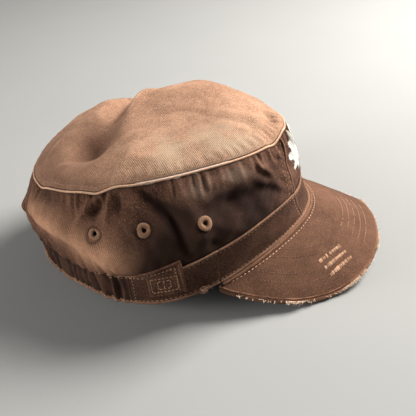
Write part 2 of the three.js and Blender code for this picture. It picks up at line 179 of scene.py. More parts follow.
# Folds of the crown wall as (degree, level) ends, width and height in mm. The right side's are the slumped
# cap's own; the left side has its own set, so the two sides don't mirror.
FOLDS_RIGHT = (
    ((-156, 1.72), (-124, 1.46), 9.0, 4.2),
    ((-128, 1.46), (-92, 1.16), 8.5, 4.4),
    ((-150, 1.93), (-134, 1.80), 6.0, -3.0),
    ((-132, 1.88), (-120, 1.66), 5.0, -1.6),
    ((-109.5, 1.99), (-119, 1.70), 3.0, 2.6),
    ((-106.5, 1.98), (-113, 1.68), 3.0, -2.2),
    ((-103.5, 1.99), (-107, 1.62), 2.6, 2.0),
    ((-100, 1.96), (-101, 1.66), 3.2, -1.6),
    ((-92, 1.95), (-81, 1.60), 4.2, -3.6),
    ((-81.5, 1.68), (-75, 1.12), 4.8, -4.2),
    ((-88, 1.70), (-83, 1.26), 5.5, 1.8),
    ((-74, 1.84), (-71, 1.24), 5.0, 2.2),
    ((-66, 1.55), (-40, 1.44), 5.5, -2.4),
    ((-44, 1.50), (-31, 1.20), 5.0, -1.8),
    ((-70, 1.84), (-42, 1.76), 7.0, 1.2),
    ((-42, 1.95), (-34, 1.56), 3.0, 2.2),
    ((-62, 1.34), (-50, 1.06), 5.5, 1.8),
    ((-68, 1.22), (-64, 1.02), 3.0, -1.4),
    ((-166, 1.55), (-176, 1.20), 7.0, 2.2),
    ((-160, 1.90), (-165, 1.40), 5.0, -1.8),
    ((-146, 1.50), (-120, 1.28), 3.6, -1.5),
    ((-122, 1.62), (-98, 1.40), 3.4, -1.3),
    ((-112, 1.28), (-96, 1.10), 3.0, 1.1),
)
FOLDS_LEFT = (
    ((152, 1.66), (122, 1.42), 9.0, 3.8),
    ((126, 1.42), (98, 1.20), 8.0, 3.4),
    ((144, 1.92), (128, 1.78), 6.0, -2.4),
    ((116, 1.97), (108, 1.62), 3.2, 2.0),
    ((110, 1.97), (104, 1.60), 3.2, -1.8),
    ((86, 1.90), (76, 1.30), 5.0, -3.2),
    ((78, 1.80), (70, 1.20), 5.0, 1.8),
    ((66, 1.50), (44, 1.36), 6.0, -2.6),
    ((66, 1.82), (40, 1.74), 7.0, 2.0),
    ((38, 1.90), (32, 1.40), 3.4, 1.8),
    ((56, 1.30), (48, 1.05), 4.5, 1.4),
    ((170, 1.85), (162, 1.30), 6.0, -1.8),
)


def on_wall(deg, level):
    """Distances in mm along and up the crown wall, of a place given by its degree and level."""
    return deg * MM_PER_DEG, (level - 1) * WALL_RISE


def wall_folds(deg, level):
    """The large folds of the crown wall, in mm: the sum of its straight ridges and grooves."""
    side = signed(deg)
    up = np.clip(level - 1, 0, 1)
    x, y = side * MM_PER_DEG, up * WALL_RISE
    total = 0 * x
    for start, end, width, height in FOLDS_RIGHT + FOLDS_LEFT:
        total = total + fold(x, y, on_wall(*start), on_wall(*end), width, height)
    return 1.2 * total * smooth(0, 0.08, up) * smooth(1, 0.95, up)


def wall_relief(deg, level):
    """How far the worn crown wall stands out from its smooth form, in mm: its fullness, the large folds, the
    pleats that gather it into both its seams, and small creases."""
    side = signed(deg)
    up = np.clip(level - 1, 0, 1)
    x, y = side * MM_PER_DEG, up * WALL_RISE
    back = (1 - np.cos(np.radians(side))) / 2
    dome_like = np.sin(pi * up)
    puff = (2.0 + 6.0 * back) * np.clip(np.sin(pi * up ** (1 - 0.3 * back)), 0, 1) ** 0.75
    relief = puff + wall_folds(deg, level) + 1.2 * ripple(x, y, 44, 3) * np.clip(dome_like, 0, 1) ** 0.5
    pucker = np.sin(x * 2 * pi / 9.0 + 2.0 * ripple(x, 0 * x, 37, 11)) + 0.5 * np.sin(x * 2 * pi / 5.3 + 1.0)
    uneven = 0.6 + 0.5 * ripple(x, 0 * x, 60, 12)
    gathers = 0.75 * pucker * uneven * smooth(0.66, 0.92, up) * smooth(1.0, 0.96, up)
    low_gathers = 0.8 * pucker * smooth(0.30, 0.10, up) * smooth(0, 0.04, up) * smooth(95, 115, np.abs(side))
    small = 0.45 * ripple(x * 1.6 + y * 0.6, y, 19, 5) + 0.14 * ripple(x, y, 8, 6)
    tuck = -1.0 * bump(up, 0, 0.025) * smooth(110, 95, np.abs(side))
    return relief + gathers + low_gathers + small * np.clip(dome_like, 0, 1) ** 0.4 + tuck


def band_relief(deg, level):
    """Band: nearly plain at the front and sides, drawn into uneven pleats by its elastic at the back."""
    side = signed(deg)
    x, y = side * MM_PER_DEG, BAND_RISE * level
    gathered = smooth(BAND_SEAM - 2, BAND_SEAM + 8, np.abs(side))
    wander = 2.6 * ripple(x, 0.12 * y, 30, 21) + 0.7 * ripple(x, 0.35 * y, 17, 22)
    pleat = 0.5 + 0.5 * np.sin(x * 2 * pi / PLEAT_PITCH + wander)
    size = 0.75 + 0.35 * ripple(x, 0 * x, 40, 23)
    plain = 0.4 * ripple(x, y, 34, 8) + 0.15 * ripple(x, y, 13, 9)
    crease = fold(x, y, (-77 * MM_PER_DEG, 26), (-69 * MM_PER_DEG, 3), 2.2, -1.6)
    crease = crease + fold(x, y, (66 * MM_PER_DEG, 24), (74 * MM_PER_DEG, 4), 2.4, -1.2)
    ends = np.sin(pi * np.clip(level, 0, 1)) ** 0.4
    return (plain + crease) * ends + gathered * (0.3 + 2.3 * pleat ** 1.3 * size * (0.4 + 0.6 * ends))


def wall(deg, level):
    """Outer face of the cap's wall. Level 0 is the hem, 1 the band line and 2 the crown top's seam.
    It is the straight line between those, moved out level by the relief; over the gathered back the
    full crown also sags over the band line."""
    deg, level = np.broadcast_arrays(np.asarray(deg, float), np.asarray(level, float))
    low, mid, high = hem(deg), band_line(deg), ring(TIP, deg)
    in_band = np.clip(level, 0, 1)[..., None]
    up = np.clip(level - 1, 0, 1)
    p = low * (1 - in_band) + mid * in_band
    p = p + (high - mid) * up[..., None]
    relief = np.where(level > 1, wall_relief(deg, level), band_relief(deg, level))
    p = p + outward(deg) * relief[..., None]
    side = signed(deg)
    p[..., 2] -= BACK_SAG * bump(up, 0.13, 0.11) * bump(np.abs(side), 121, 20) * (level > 1)
    p[..., 2] += tip_wave(deg) * smooth(0.55, 1, up)
    return p


def tip_wave(deg):
    """The crown top's seam rises and dips where the cap has slumped: a sum of bells at set angles, in mm."""
    side = signed(deg)
    bells = ((-147, 5, -1.6), (-136, 9, 0.8), (-110.5, 5, -2.2), (-100.5, 5, 1.0), (-60, 16, 0.6),
             (-24, 4.5, -1.9), (-12, 5, 1.6), (20, 7, -1.2), (104, 7, -1.6), (118, 9, 0.9), (142, 7, -1.3))
    return sum(height * bump(side, at, width) for at, width, height in bells)


def normals(face, u, v, du=0.4, dv=0.012):
    """Unit normals of a face, from its slopes along both of its parameters."""
    along = face(u + du, v) - face(u - du, v)
    across = face(u, v + dv) - face(u, v - dv)
    return unit(np.cross(along, across))


def wall_normals(deg, level):
    """Normals of the wall, taken on the same side of the band line as the point."""
    level = np.asarray(level, float)
    near = np.where(level > 1, np.clip(level, 1.03, 1.97), np.clip(level, 0.03, 0.97))
    return normals(wall, deg, near)


def wall_layer(deg, level, depth):
    """The wall moved inward by a depth, square to itself."""
    return wall(deg, level) - wall_normals(deg, level) * depth


def dome(deg, share):
    """Outer face of the crown top: share 0 is its middle, 1 its seam. It is a rounded cushion over the seam,
    with a high front lobe, a lower back one, a valley between them and a dent at the right back."""
    deg, share = np.broadcast_arrays(np.asarray(deg, float), np.asarray(share, float))
    rim = ring(TIP, deg)
    rim[..., 2] += tip_wave(deg)
    middle = np.array([TIP["x0"], 0, TIP["z0"]])
    p = middle + (rim - middle) * share[..., None]
    x, y = p[..., 0], p[..., 1]
    side = signed(deg)
    cushion = np.clip(1 - share ** 2.8, 0, 1) ** 0.68
    pucker = np.sin(side * MM_PER_DEG * 2 * pi / 8.0 + 2 * ripple(side, 0 * side, 31, 4))
    pucker = pucker * bump(share, 0.93, 0.04)
    p[..., 2] = rim[..., 2] * share ** 2 + middle[2] * (1 - share ** 2) + cushion * CROWN_RISE
    p[..., 2] += dome_relief(x, y) * smooth(1.0, 0.84, share) + 0.35 * pucker
    out = outward(deg) * (2.2 * bump(share, 0.94, 0.06) * np.clip(1 - share ** 8, 0, 1))[..., None]
    return p + out


def dome_relief(x, y):
    """Height of the crown top's lobes, valley, dents and creases, in mm, over its plain cushion."""
    lobes = 9.0 * bump(np.hypot((x - 19) * 0.9, (y - 22) * 0.9), 0, 34)
    lobes = lobes + 4.0 * bump(np.hypot((x + 56) * 0.8, y - 32), 0, 24)
    lobes = lobes + 2.5 * bump(np.hypot(x - 48, y + 14), 0, 26)
    valley = fold(x, y, (-30, 74), (-36, 14), 9, -9.0) + fold(x, y, (-33, 34), (-42, -14), 8, -8.0)
    ridge = fold(x, y, (-12, 40), (-27, -8), 4.5, 4.2)
    dent = -16.0 * bump(np.hypot((x + 47) * 0.95, (y + 22) * 0.85), 0, 15)
    lip = 2.2 * bump(np.hypot(x + 64, (y + 8) * 0.8), 0, 12)
    hollow = -2.6 * bump(np.hypot(x - 30, (y + 20) * 0.9), 0, 13)
    crease = fold(x, y, (-86, -26), (-68, -4), 3.0, 1.5) + fold(x, y, (-74, -38), (-56, -42), 4, 1.6)
    crease = crease + fold(x, y, (73, 4), (82, -16), 4.0, -3.6) + fold(x, y, (60, -4), (74, -30), 5, 1.4)
    crease = crease + fold(x, y, (4, 52), (40, 50), 8, 1.5) + fold(x, y, (-20, -52), (10, -62), 6, 1.2)
    large = lobes + valley + ridge + dent + lip + hollow + crease
    return large + 0.8 * ripple(x, y, 48, 2) + 0.2 * ripple(x, y, 14, 6)


def peak_inner(share, distance):
    """Inner edge of the peak, outside the band by a distance; share runs 0 to 1 from right to left."""
    deg = PEAK_END * (2 * np.asarray(share, float) - 1)
    return hem(deg) + outward(deg) * np.asarray(distance)[..., None]


def peak_outer(share, inset):
    """Outer edge of the peak: a rounded oblong."""
    side = np.sin(pi * (np.asarray(share, float) - 0.5))
    forward = np.clip(1 - np.abs(side) ** PEAK_ROUNDNESS, 0, 1) ** (1 / PEAK_ROUNDNESS)
    x = SEAM_END[0] - PEAK_TAIL + (PEAK_LENGTH + PEAK_TAIL - inset) * forward
    return np.stack([x, (PEAK_HALF_WIDTH - inset) * side, 0 * x], -1)


def peak_face(share, reach, height=0.0, inset=0.0, start=2.0):
    """A face of the peak: reach 0 is the seam and 1 the outer edge."""
    share, reach = np.broadcast_arrays(np.asarray(share, float), np.asarray(reach, float))
    reach = reach[..., None]
    p = peak_inner(share, start + 0 * share) * (1 - reach) + peak_outer(share, inset) * reach
    x, y = p[..., 0], p[..., 1]
    p[..., 2] = peak_height(x, y) + height + 0.28 * ripple(x, y, 42, 31) + 0.10 * ripple(x, y, 13, 32)
    return p


# ---- meshes -------------------------------------------------------------------------------------------------

def new_piece(name, points, faces, material, uv=None, marks=None):
    """A mesh object at the origin from points in mm round the head's centre line. marks are point values
    between 0 and 1 that the materials read, such as wear."""
    co = np.asarray(points, float).reshape(-1, 3) - np.array([ORIGIN_X, 0, 0])
    mesh = bpy.data.meshes.new(name)
    mesh.from_pydata((co * MM).tolist(), [], [list(f) for f in faces])
    if uv is not None:
        layer = mesh.uv_layers.new(name="cloth")
        index = np.empty(len(mesh.loops), np.int32)
        mesh.loops.foreach_get("vertex_index", index)
        layer.data.foreach_set("uv", (np.asarray(uv, float).reshape(-1, 2)[index] * MM).ravel())
    for key, value in (marks or {}).items():
        value = np.clip(np.broadcast_to(value, np.shape(points)[:-1]), 0, 1).astype(np.float32)
        mesh.attributes.new(name=key, type="FLOAT", domain="POINT").data.foreach_set("value", value.ravel())
    mesh.polygons.foreach_set("use_smooth", [True] * len(mesh.polygons))
    mesh.materials.append(material)
    piece = bpy.data.objects.new(name, mesh)
    bpy.context.scene.collection.objects.link(piece)
    return piece


def grid_faces(columns, rows, closed_rows=False):
    """Quads between the points of a grid, columns first; closed_rows joins its last row to its first."""
    i, j = np.meshgrid(np.arange(columns - 1), np.arange(rows if closed_rows else rows - 1), indexing="ij")
    nxt = (j + 1) % rows
    after = i + 1
    quads = [i * rows + j, after * rows + j, after * rows + nxt, i * rows + nxt]
    return np.stack(quads, -1).reshape(-1, 4)


def disc_faces(columns, rows, centre, first=0):
    """Faces of a grid that closes round its columns, and a fan from a centre point to its first row."""
    i, j = np.meshgrid(np.arange(columns), np.arange(first, rows - 1), indexing="ij")
    after = (i + 1) % columns
    quads = [i * rows + j, i * rows + j + 1, after * rows + j + 1, after * rows + j]
    quads = np.stack(quads, -1).reshape(-1, 4)
    i = np.arange(columns)
    fan = np.stack([0 * i + centre, i * rows + first, (i + 1) % columns * rows + first], -1)
    return quads.tolist() + fan.tolist()


def thicken(piece, mm):
    """Gives a one-sided sheet its thickness, inward."""
    solid = piece.modifiers.new("cloth thickness", "SOLIDIFY")
    solid.thickness = mm * MM
    solid.offset = -1
    solid.use_quality_normals = True
    return piece


def strip(name, material, span, low, high, depth, mm, columns, rows, marks=None, face=wall_layer, holes=()):
    """A cloth strip of the wall: span gives its two edge angles at a level, and depth how far in it lies.
    Its own map follows the cloth, in mm along the wall and up it. Holes leave out the cells round a point."""
    share, level = np.meshgrid(np.linspace(0, 1, columns), np.linspace(low, high, rows), indexing="ij")
    first, last = span(level)
    deg = first + (last - first) * share
    points = face(deg, level, depth)
    height = np.where(level > 1, BAND_RISE + (level - 1) * WALL_RISE, level * BAND_RISE)
    uv = np.stack([deg * MM_PER_DEG, height], -1)
    faces = grid_faces(columns, rows)
    for middle, radius in holes:
        centre = points.reshape(-1, 3)[faces].mean(1)
        faces = faces[np.linalg.norm(centre - middle, axis=1) > radius]
    values = {key: mark(deg, level, share) for key, mark in (marks or {}).items()}
    return thicken(new_piece(name, points, faces, material, uv, values), mm)


def tubes(name, material, centres, across, up, radius, uv=None, marks=None, sides=8, oval=1.0):
    """Many like tubes at once. centres is (tube, ring, xyz); across and up are unit directions at each ring
    and radius a value for each. Every tube is closed at both its ends by a flat face."""
    centres = np.asarray(centres, float)
    count, rings = centres.shape[:2]
    turn = np.arange(sides) * 2 * pi / sides
    radius = np.broadcast_to(radius, (count, rings))[..., None, None]
    wide = across[:, :, None, :] * np.cos(turn)[:, None]
    tall = up[:, :, None, :] * np.sin(turn)[:, None] * oval
    points = centres[:, :, None, :] + (wide + tall) * radius
    one = grid_faces(rings, sides, True)
    step = (np.arange(count) * rings * sides)[:, None]
    body = (one[None] + step[:, :, None]).reshape(-1, 4)
    start = (np.arange(sides)[None] + step)
    end = (np.arange(sides)[::-1][None] + (rings - 1) * sides + step)
    faces = body.tolist() + start.tolist() + end.tolist()
    if uv is None:
        run = np.broadcast_to(np.arange(rings)[None, :, None] * 1.0, (count, rings, sides))
        uv = np.stack([run, np.broadcast_to(turn, (count, rings, sides))], -1)
    return new_piece(name, points, faces, material, uv, marks)


def along(points):
    """Unit directions along a line of points."""
    return unit(np.gradient(points, axis=-2))


def upright(points):
    """The upward direction at each of some points."""
    return np.broadcast_to(np.array([0, 0, 1.0]), np.shape(points))


def cord_on(name, material, line, up, radius, oval=1.0, sides=10, marks=None, closed=False):
    """One round cord of cloth along a line, with a map in mm along and round it. It is closed by flat faces at
    its ends, or meets itself there."""
    tangent = along(line)
    if closed:
        tangent[[0, -1]] = tangent[0] + tangent[-1]
    across = unit(np.cross(tangent, up))
    raised = np.cross(across, tangent)
    run = np.concatenate([[0], np.cumsum(np.linalg.norm(np.diff(line, axis=0), axis=1))])
    turn = np.arange(sides) * 2 * pi / sides
    uv = np.stack(np.meshgrid(run, turn * radius, indexing="ij"), -1)[None]
    ends = np.ones(len(line))
    ends[[0, -1]] = 1.0 if closed else 0.5
    return tubes(name, material, line[None], across[None], raised[None], radius * ends[None], uv, marks, sides,
                 oval)


def stitch_row(line, up, length=2.3, gap=0.9, radius=0.26, sink=0.35, skip=0.0, seed=1):
    """Centres, directions and radii of a row of stitches along a line that lies on the cloth. Each stitch is a
    short thread whose middle stands up and whose ends dive into the cloth. skip leaves out worn-off ones."""
    run = np.concatenate([[0], np.cumsum(np.linalg.norm(np.diff(line, axis=0), axis=1))])
    count = max(1, int(run[-1] / (length + gap)))
    rng = np.random.default_rng(seed)
    middle = (np.arange(count) + 0.5) * run[-1] / count
    middle = middle[rng.uniform(size=count) >= skip]
    part = np.array([-0.5, -0.34, 0.0, 0.34, 0.5])
    at = middle[:, None] + part * length * rng.uniform(0.85, 1.08, len(middle))[:, None]
    pick = lambda values: np.stack([np.interp(at, run, values[:, k]) for k in range(3)], -1)
    raised = unit(pick(up))
    lift = np.array([-1.0, 0.25, 0.75, 0.25, -1.0]) * radius - sink * radius
    centre = pick(line) + raised * lift[:, None]
    across = unit(np.cross(pick(along(line)), raised))
    size = radius * np.array([0.6, 1.0, 1.0, 1.0, 0.6]) * rng.uniform(0.85, 1.1, len(middle))[:, None]
    return centre, across, raised, size


def stitches(name, material, rows):
    """One piece of all the stitches in several rows."""
    parts = [stitch_row(**row) for row in rows]
    centre, across, raised, size = (np.concatenate([p[k] for p in parts]) for k in range(4))
    return tubes(name, material, centre, across, raised, size, sides=6)


def wall_line(deg, level, **more):
    """A stitch row along any line of the wall."""
    return dict(line=wall(deg, level), up=wall_normals(deg, level), **more)


def wall_row(span, level, **more):
    """A stitch row along the wall between two angles, at one level."""
    deg = np.linspace(*span, max(12, int(abs(span[1] - span[0]) * 2)))
    return wall_line(deg, deg * 0 + level, **more)


def finish_piece(piece, body, slot, *nodes):
    """Hands a finished piece to the frame."""
    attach(piece, body)
    if nodes:
        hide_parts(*nodes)
    return piece


def blend_piece(piece, slot, *nodes):
    """Bakes the place of a piece of the band's front, whose top lies on the crown and whose seam on the peak,
    into its points, and hides the frame's parts it stands for.
    """
    top = band_line(np.array(0.0)) - np.array([ORIGIN_X, 0, 0.5])
    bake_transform(piece)
    if nodes:
        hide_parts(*nodes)
    return piece


# ---- materials ----------------------------------------------------------------------------------------------

def srgb(r, g, b):
    """A colour given as 0 to 255 display values, for the shader."""
    c = np.array([r, g, b]) / 255.0
    return (*np.where(c <= 0.04045, c / 12.92, ((c + 0.055) / 1.055) ** 2.4), 1.0)


def math_node(tree, operation, a, b=None, clamp=False):
    """A Math node; its inputs are sockets or numbers. Gives its output socket."""
    node = tree.nodes.new("ShaderNodeMath")
    node.operation = operation
    node.use_clamp = clamp
    for socket, value in zip(node.inputs, (a, b)):
        if value is None:
            continue
        if isinstance(value, (int, float)):
            socket.default_value = value
        else:
            tree.links.new(value, socket)
    return node.outputs[0]


def times(tree, a, b, clamp=False):
    """Two values multiplied."""
    return math_node(tree, "MULTIPLY", a, b, clamp)


def plus(tree, a, b):
    """Two values added."""
    return math_node(tree, "ADD", a, b)


def wave(tree, value):
    """A sine wave of a value, between 0 and 1."""
    return plus(tree, times(tree, math_node(tree, "SINE", value), 0.5), 0.5)


def mix_colour(tree, share, a, b, mode="MIX"):
    """A colour mix; its inputs are sockets or values. Gives its output socket."""
    node = tree.nodes.new("ShaderNodeMix")
    node.data_type = "RGBA"
    node.blend_type = mode
    node.clamp_result = True
    for socket, value in ((node.inputs[0], share), (node.inputs[6], a), (node.inputs[7], b)):
        if isinstance(value, (int, float, tuple)):
            socket.default_value = value
        else:
            tree.links.new(value, socket)
    return node.outputs[2]


def noise(tree, vector, scale, detail=3.0, roughness=0.55):
    """Noise between about 0.3 and 0.7 at a scale per metre. Gives its value socket."""
    node = tree.nodes.new("ShaderNodeTexNoise")
    node.inputs["Scale"].default_value = scale
    node.inputs["Detail"].default_value = detail
    node.inputs["Roughness"].default_value = roughness
    tree.links.new(vector, node.inputs["Vector"])
    return node.outputs[0]


def ramp(tree, value, low, high):
    """A smooth step of a value from low to high."""
    node = tree.nodes.new("ShaderNodeMapRange")
    node.interpolation_type = "SMOOTHSTEP"
    tree.links.new(value, node.inputs["Value"])
    node.inputs["From Min"].default_value = low
    node.inputs["From Max"].default_value = high
    return node.outputs[0]


def group_of(name, inputs, outputs):
    """A shader node group with named sockets. Gives the tree, its input node's sockets and its output node."""
    tree = bpy.data.node_groups.new(name, "ShaderNodeTree")
    for label, kind, value in inputs:
        socket = tree.interface.new_socket(name=label, in_out="INPUT", socket_type=kind)
        if value is not None:
            socket.default_value = value
    for label, kind in outputs:
        tree.interface.new_socket(name=label, in_out="OUTPUT", socket_type=kind)
    source = tree.nodes.new("NodeGroupInput")
    sink = tree.nodes.new("NodeGroupOutput")
    return tree, source.outputs, sink


def twill_group():
    """Diagonal twill ribs crossed by finer threads, from the cloth's own map: a height and a rib mask."""
    tree, given, sink = group_of("Twill Weave", [
        ("Map", "NodeSocketVector", None), ("Rib Pitch", "NodeSocketFloat", 0.0012),
        ("Unevenness", "NodeSocketFloat", 0.5),
    ], [("Height", "NodeSocketFloat"), ("Rib", "NodeSocketFloat")])
    place, pitch = given["Map"], given["Rib Pitch"]
    parts = tree.nodes.new("ShaderNodeSeparateXYZ")
    tree.links.new(place, parts.inputs[0])
    u, v = parts.outputs[0], parts.outputs[1]
    wobble = times(tree, noise(tree, place, 300, 3.0), 9.0)
    diagonal = plus(tree, times(tree, u, 0.80), times(tree, v, 0.60))
    rib = wave(tree, plus(tree, times(tree, math_node(tree, "DIVIDE", diagonal, pitch), 2 * pi), wobble))
    thread = wave(tree, times(tree, math_node(tree, "DIVIDE", v, pitch), 2 * pi * 1.7))
    woven = times(tree, rib, plus(tree, times(tree, thread, 0.45), 0.55))
    rough = times(tree, noise(tree, place, 900, 2.0), given["Unevenness"])
    tree.links.new(plus(tree, woven, rough), sink.inputs["Height"])
    tree.links.new(rib, sink.inputs["Rib"])
    return tree


def wash_group():
    """Colour of dyed cloth after many washes: large and small patches, slubs, and pale worn places where the
    wear value is high. Gives the colour and the worn mask."""
    tree, given, sink = group_of("Washed Colour", [
        ("Position", "NodeSocketVector", None), ("Dye", "NodeSocketColor", (0.2, 0.12, 0.1, 1)),
        ("Faded", "NodeSocketColor", (0.4, 0.28, 0.22, 1)), ("Deep", "NodeSocketColor", (0.1, 0.06, 0.05, 1)),
        ("Rib", "NodeSocketFloat", 0.5), ("Wear", "NodeSocketFloat", 0.0), ("Fading", "NodeSocketFloat", 0.3),
    ], [("Colour", "NodeSocketColor"), ("Worn", "NodeSocketFloat")])
    place, faded, deep, wear = (given[name] for name in ("Position", "Faded", "Deep", "Wear"))
    patches = ramp(tree, noise(tree, place, 22, 3.0), 0.38, 0.66)
    mottle = ramp(tree, noise(tree, place, 130, 4.0, 0.65), 0.34, 0.68)
    slub = ramp(tree, noise(tree, place, 850, 3.0, 0.8), 0.46, 0.62)
    speck = ramp(tree, noise(tree, place, 1150, 2.0, 0.8), 0.44, 0.60)
    between_ribs = math_node(tree, "SUBTRACT", 1.0, given["Rib"])
    base = mix_colour(tree, times(tree, patches, given["Fading"]), given["Dye"], faded)
    for mask, strength, tint in ((mottle, 0.30, deep), (slub, 0.55, faded), (speck, 0.42, deep),
                                 (between_ribs, 0.16, deep)):
        base = mix_colour(tree, times(tree, mask, strength), base, tint)
    grain = math_node(tree, "SUBTRACT", noise(tree, place, 420, 4.0, 0.7), 0.5)
    rubbed = plus(tree, wear, times(tree, grain, 1.5))
    worn = times(tree, ramp(tree, rubbed, 0.25, 0.95), ramp(tree, wear, 0.02, 0.3))
    base = mix_colour(tree, times(tree, worn, 0.75), base, faded)
    tree.links.new(base, sink.inputs["Colour"])
    tree.links.new(worn, sink.inputs["Worn"])
    return tree


def thread_group():
    """Fine fibres along a thread or a satin stitch, from the piece's own map: gives a height and a shade."""
    tree, given, sink = group_of("Thread Fibres", [
        ("Map", "NodeSocketVector", None), ("Fibres", "NodeSocketFloat", 9000.0),
    ], [("Height", "NodeSocketFloat"), ("Shade", "NodeSocketFloat")])
    parts = tree.nodes.new("ShaderNodeSeparateXYZ")
    tree.links.new(given["Map"], parts.inputs[0])
    bend = times(tree, noise(tree, given["Map"], 500, 2.0), 5.0)
    fibre = wave(tree, plus(tree, times(tree, parts.outputs[0], given["Fibres"]), bend))
    tree.links.new(fibre, sink.inputs["Height"])
    shade = plus(tree, times(tree, fibre, 0.5), times(tree, noise(tree, given["Map"], 900, 3.0), 0.5))
    tree.links.new(shade, sink.inputs["Shade"])
    return tree


GROUPS = {}
MATERIALS = {}


def place_group(tree, name, maker, values):
    """A shared node group in a material, built at its first use, with the values of its inputs."""
    if name not in GROUPS:
        GROUPS[name] = maker()
    node = tree.nodes.new("ShaderNodeGroup")
    node.node_tree = GROUPS[name]
    for label, value in values.items():
        if isinstance(value, (int, float, tuple)):
            node.inputs[label].default_value = value
        else:
            tree.links.new(value, node.inputs[label])
    return node.outputs


def new_material(name, roughness, sheen=0.0, sheen_colour=(1, 1, 1, 1)):
    """An empty material with its shader's constant values set. Gives the material's tree and its shader."""
    MATERIALS[name] = material = bpy.data.materials.new(name)
    material.use_nodes = True
    shader = material.node_tree.nodes["Principled BSDF"]
    for label, value in (("Roughness", roughness), ("Specular IOR Level", MATTE), ("Sheen Weight", sheen),
                         ("Sheen Roughness", 0.45), ("Sheen Tint", sheen_colour)):
        shader.inputs[label].default_value = value
    return material.node_tree, shader


def read_map(tree):
    """The piece's own map, in metres along the cloth."""
    node = tree.nodes.new("ShaderNodeUVMap")
    node.uv_map = "cloth"
    return node.outputs[0]


def read_mark(tree, name):
    """A point value stored with the piece."""
    node = tree.nodes.new("ShaderNodeAttribute")
    node.attribute_name = name
    return node.outputs["Fac"]


def object_place(tree):
    """Place in the frame's axes, in metres."""
    return tree.nodes.new("ShaderNodeTexCoord").outputs["Object"]


def add_bump(tree, shader, height, distance_mm):
    """Joins a height to the shader's normal."""
    node = tree.nodes.new("ShaderNodeBump")
    node.inputs["Strength"].default_value = 1.0
    node.inputs["Distance"].default_value = distance_mm * MM
    tree.links.new(height, node.inputs["Height"])
    tree.links.new(node.outputs[0], shader.inputs["Normal"])


def twill(name, dye, faded, deep, fading=0.4, pitch=1.1, relief=0.22, bleached=srgb(134, 122, 108)):
    """Washed cotton twill with its ribs, patches, slubs and worn edges, and with light and shade painted in
    from the piece's marks.
    """
    if name in MATERIALS:
        return MATERIALS[name]
    tree, shader = new_material(name, 0.88, 0.02, (0.9, 0.75, 0.66, 1))
    place = object_place(tree)
    weave = place_group(tree, "twill", twill_group, {"Rib Pitch": pitch * MM, "Map": read_map(tree)})
    wash = place_group(tree, "wash", wash_group, {
        "Dye": dye, "Faded": faded, "Deep": deep, "Fading": fading, "Position": place, "Rib": weave["Rib"],
        "Wear": read_mark(tree, "wear")})
    # A painted highlight pales the lit ridges towards a light tan; painted shade darkens folds, dents and seams
    # towards the deep colour.
    speckled = times(tree, noise(tree, place, 900, 3.0, 0.8), 1.3)
    sun = times(tree, read_mark(tree, "sun"), speckled, clamp=True)
    highlighted = mix_colour(tree, sun, wash["Colour"], srgb(176, 134, 106))
    shaded = mix_colour(tree, times(tree, read_mark(tree, "grime"), 0.9), highlighted, deep)
    patchy = times(tree, ramp(tree, noise(tree, place, 60, 3.0), 0.3, 0.65), 0.6)
    grey = times(tree, read_mark(tree, "bleach"), patchy)
    tree.links.new(mix_colour(tree, grey, shaded, bleached), shader.inputs["Base Color"])
    tree.links.new(plus(tree, times(tree, wash["Worn"], 0.08), 0.86), shader.inputs["Roughness"])
    fuzz = times(tree, times(tree, wash["Worn"], noise(tree, place, 1500, 2.0)), 1.2)
    add_bump(tree, shader, plus(tree, weave["Height"], fuzz), relief)
    return MATERIALS[name]


def thread(name, colour, dark, fibres=9000.0):
    """Spun or satin-stitched thread."""
    if name in MATERIALS:
        return MATERIALS[name]
    tree, shader = new_material(name, 0.62, 0.3)
    fibre = place_group(tree, "thread", thread_group, {"Fibres": fibres, "Map": read_map(tree)})
    patch = ramp(tree, noise(tree, object_place(tree), 160, 3.0), 0.35, 0.7)
    share = plus(tree, times(tree, fibre["Shade"], 0.55), times(tree, patch, 0.35))
    tree.links.new(mix_colour(tree, share, dark, colour), shader.inputs["Base Color"])
    tree.links.new(plus(tree, times(tree, patch, 0.15), 0.55), shader.inputs["Roughness"])
    add_bump(tree, shader, fibre["Height"], 0.12)
    return MATERIALS[name]


def moulded(name, colour, dark):
    """Matte moulded sheet with a fine grain and a little soiling."""
    tree, shader = new_material(name, 0.5)
    place = object_place(tree)
    stain = times(tree, ramp(tree, noise(tree, place, 40, 4.0), 0.4, 0.75), 0.5)
    tree.links.new(mix_colour(tree, stain, colour, dark), shader.inputs["Base Color"])
    add_bump(tree, shader, noise(tree, place, 2500, 2.0), 0.05)
    return MATERIALS[name]


def darker(colour, share):
    """A colour at a share of its brightness."""
    return tuple(share * c for c in tuple(colour)[:3]) + (1,)


# ---- properties ---------------------------------------------------------------------------------------------

def colour(name, description, *rgb):
    """A colour that a maker may change."""
    return bpy.props.FloatVectorProperty(
        name=name, description=description, subtype="COLOR", size=4, default=srgb(*rgb))


def millimetres(name, description, default, low, high):
    """A size that a maker may change, in mm."""
    return bpy.props.FloatProperty(name=name, description=description + ", in mm", default=default, min=low,
                                   max=high)


class CapColours(bpy.types.PropertyGroup):
    """The dyes and threads of the cap."""
    dye: colour("Dye", "Colour of the twill", 70, 46, 36)
    faded: colour("Faded", "Twill where sun and rubbing have paled it", 136, 98, 77)
    # The deep colour is also what the painted shade of folds, dents and seams darkens towards.
    deep: colour("Deep", "Twill between its ribs and in its folds", 31, 19, 15)
    top_dye: colour("Top Dye", "Colour of the sun-faded crown top", 150, 115, 93)
    top_faded: colour("Top Faded", "Palest places of the crown top", 192, 153, 126)
    seam: colour("Seam Edge", "Twill rubbed pale along its seams", 190, 156, 130)
    thread: colour("Thread", "Sewing thread and eyelets", 184, 142, 108)
    emblem: colour("Emblem Thread", "White embroidery on the front", 212, 208, 199)


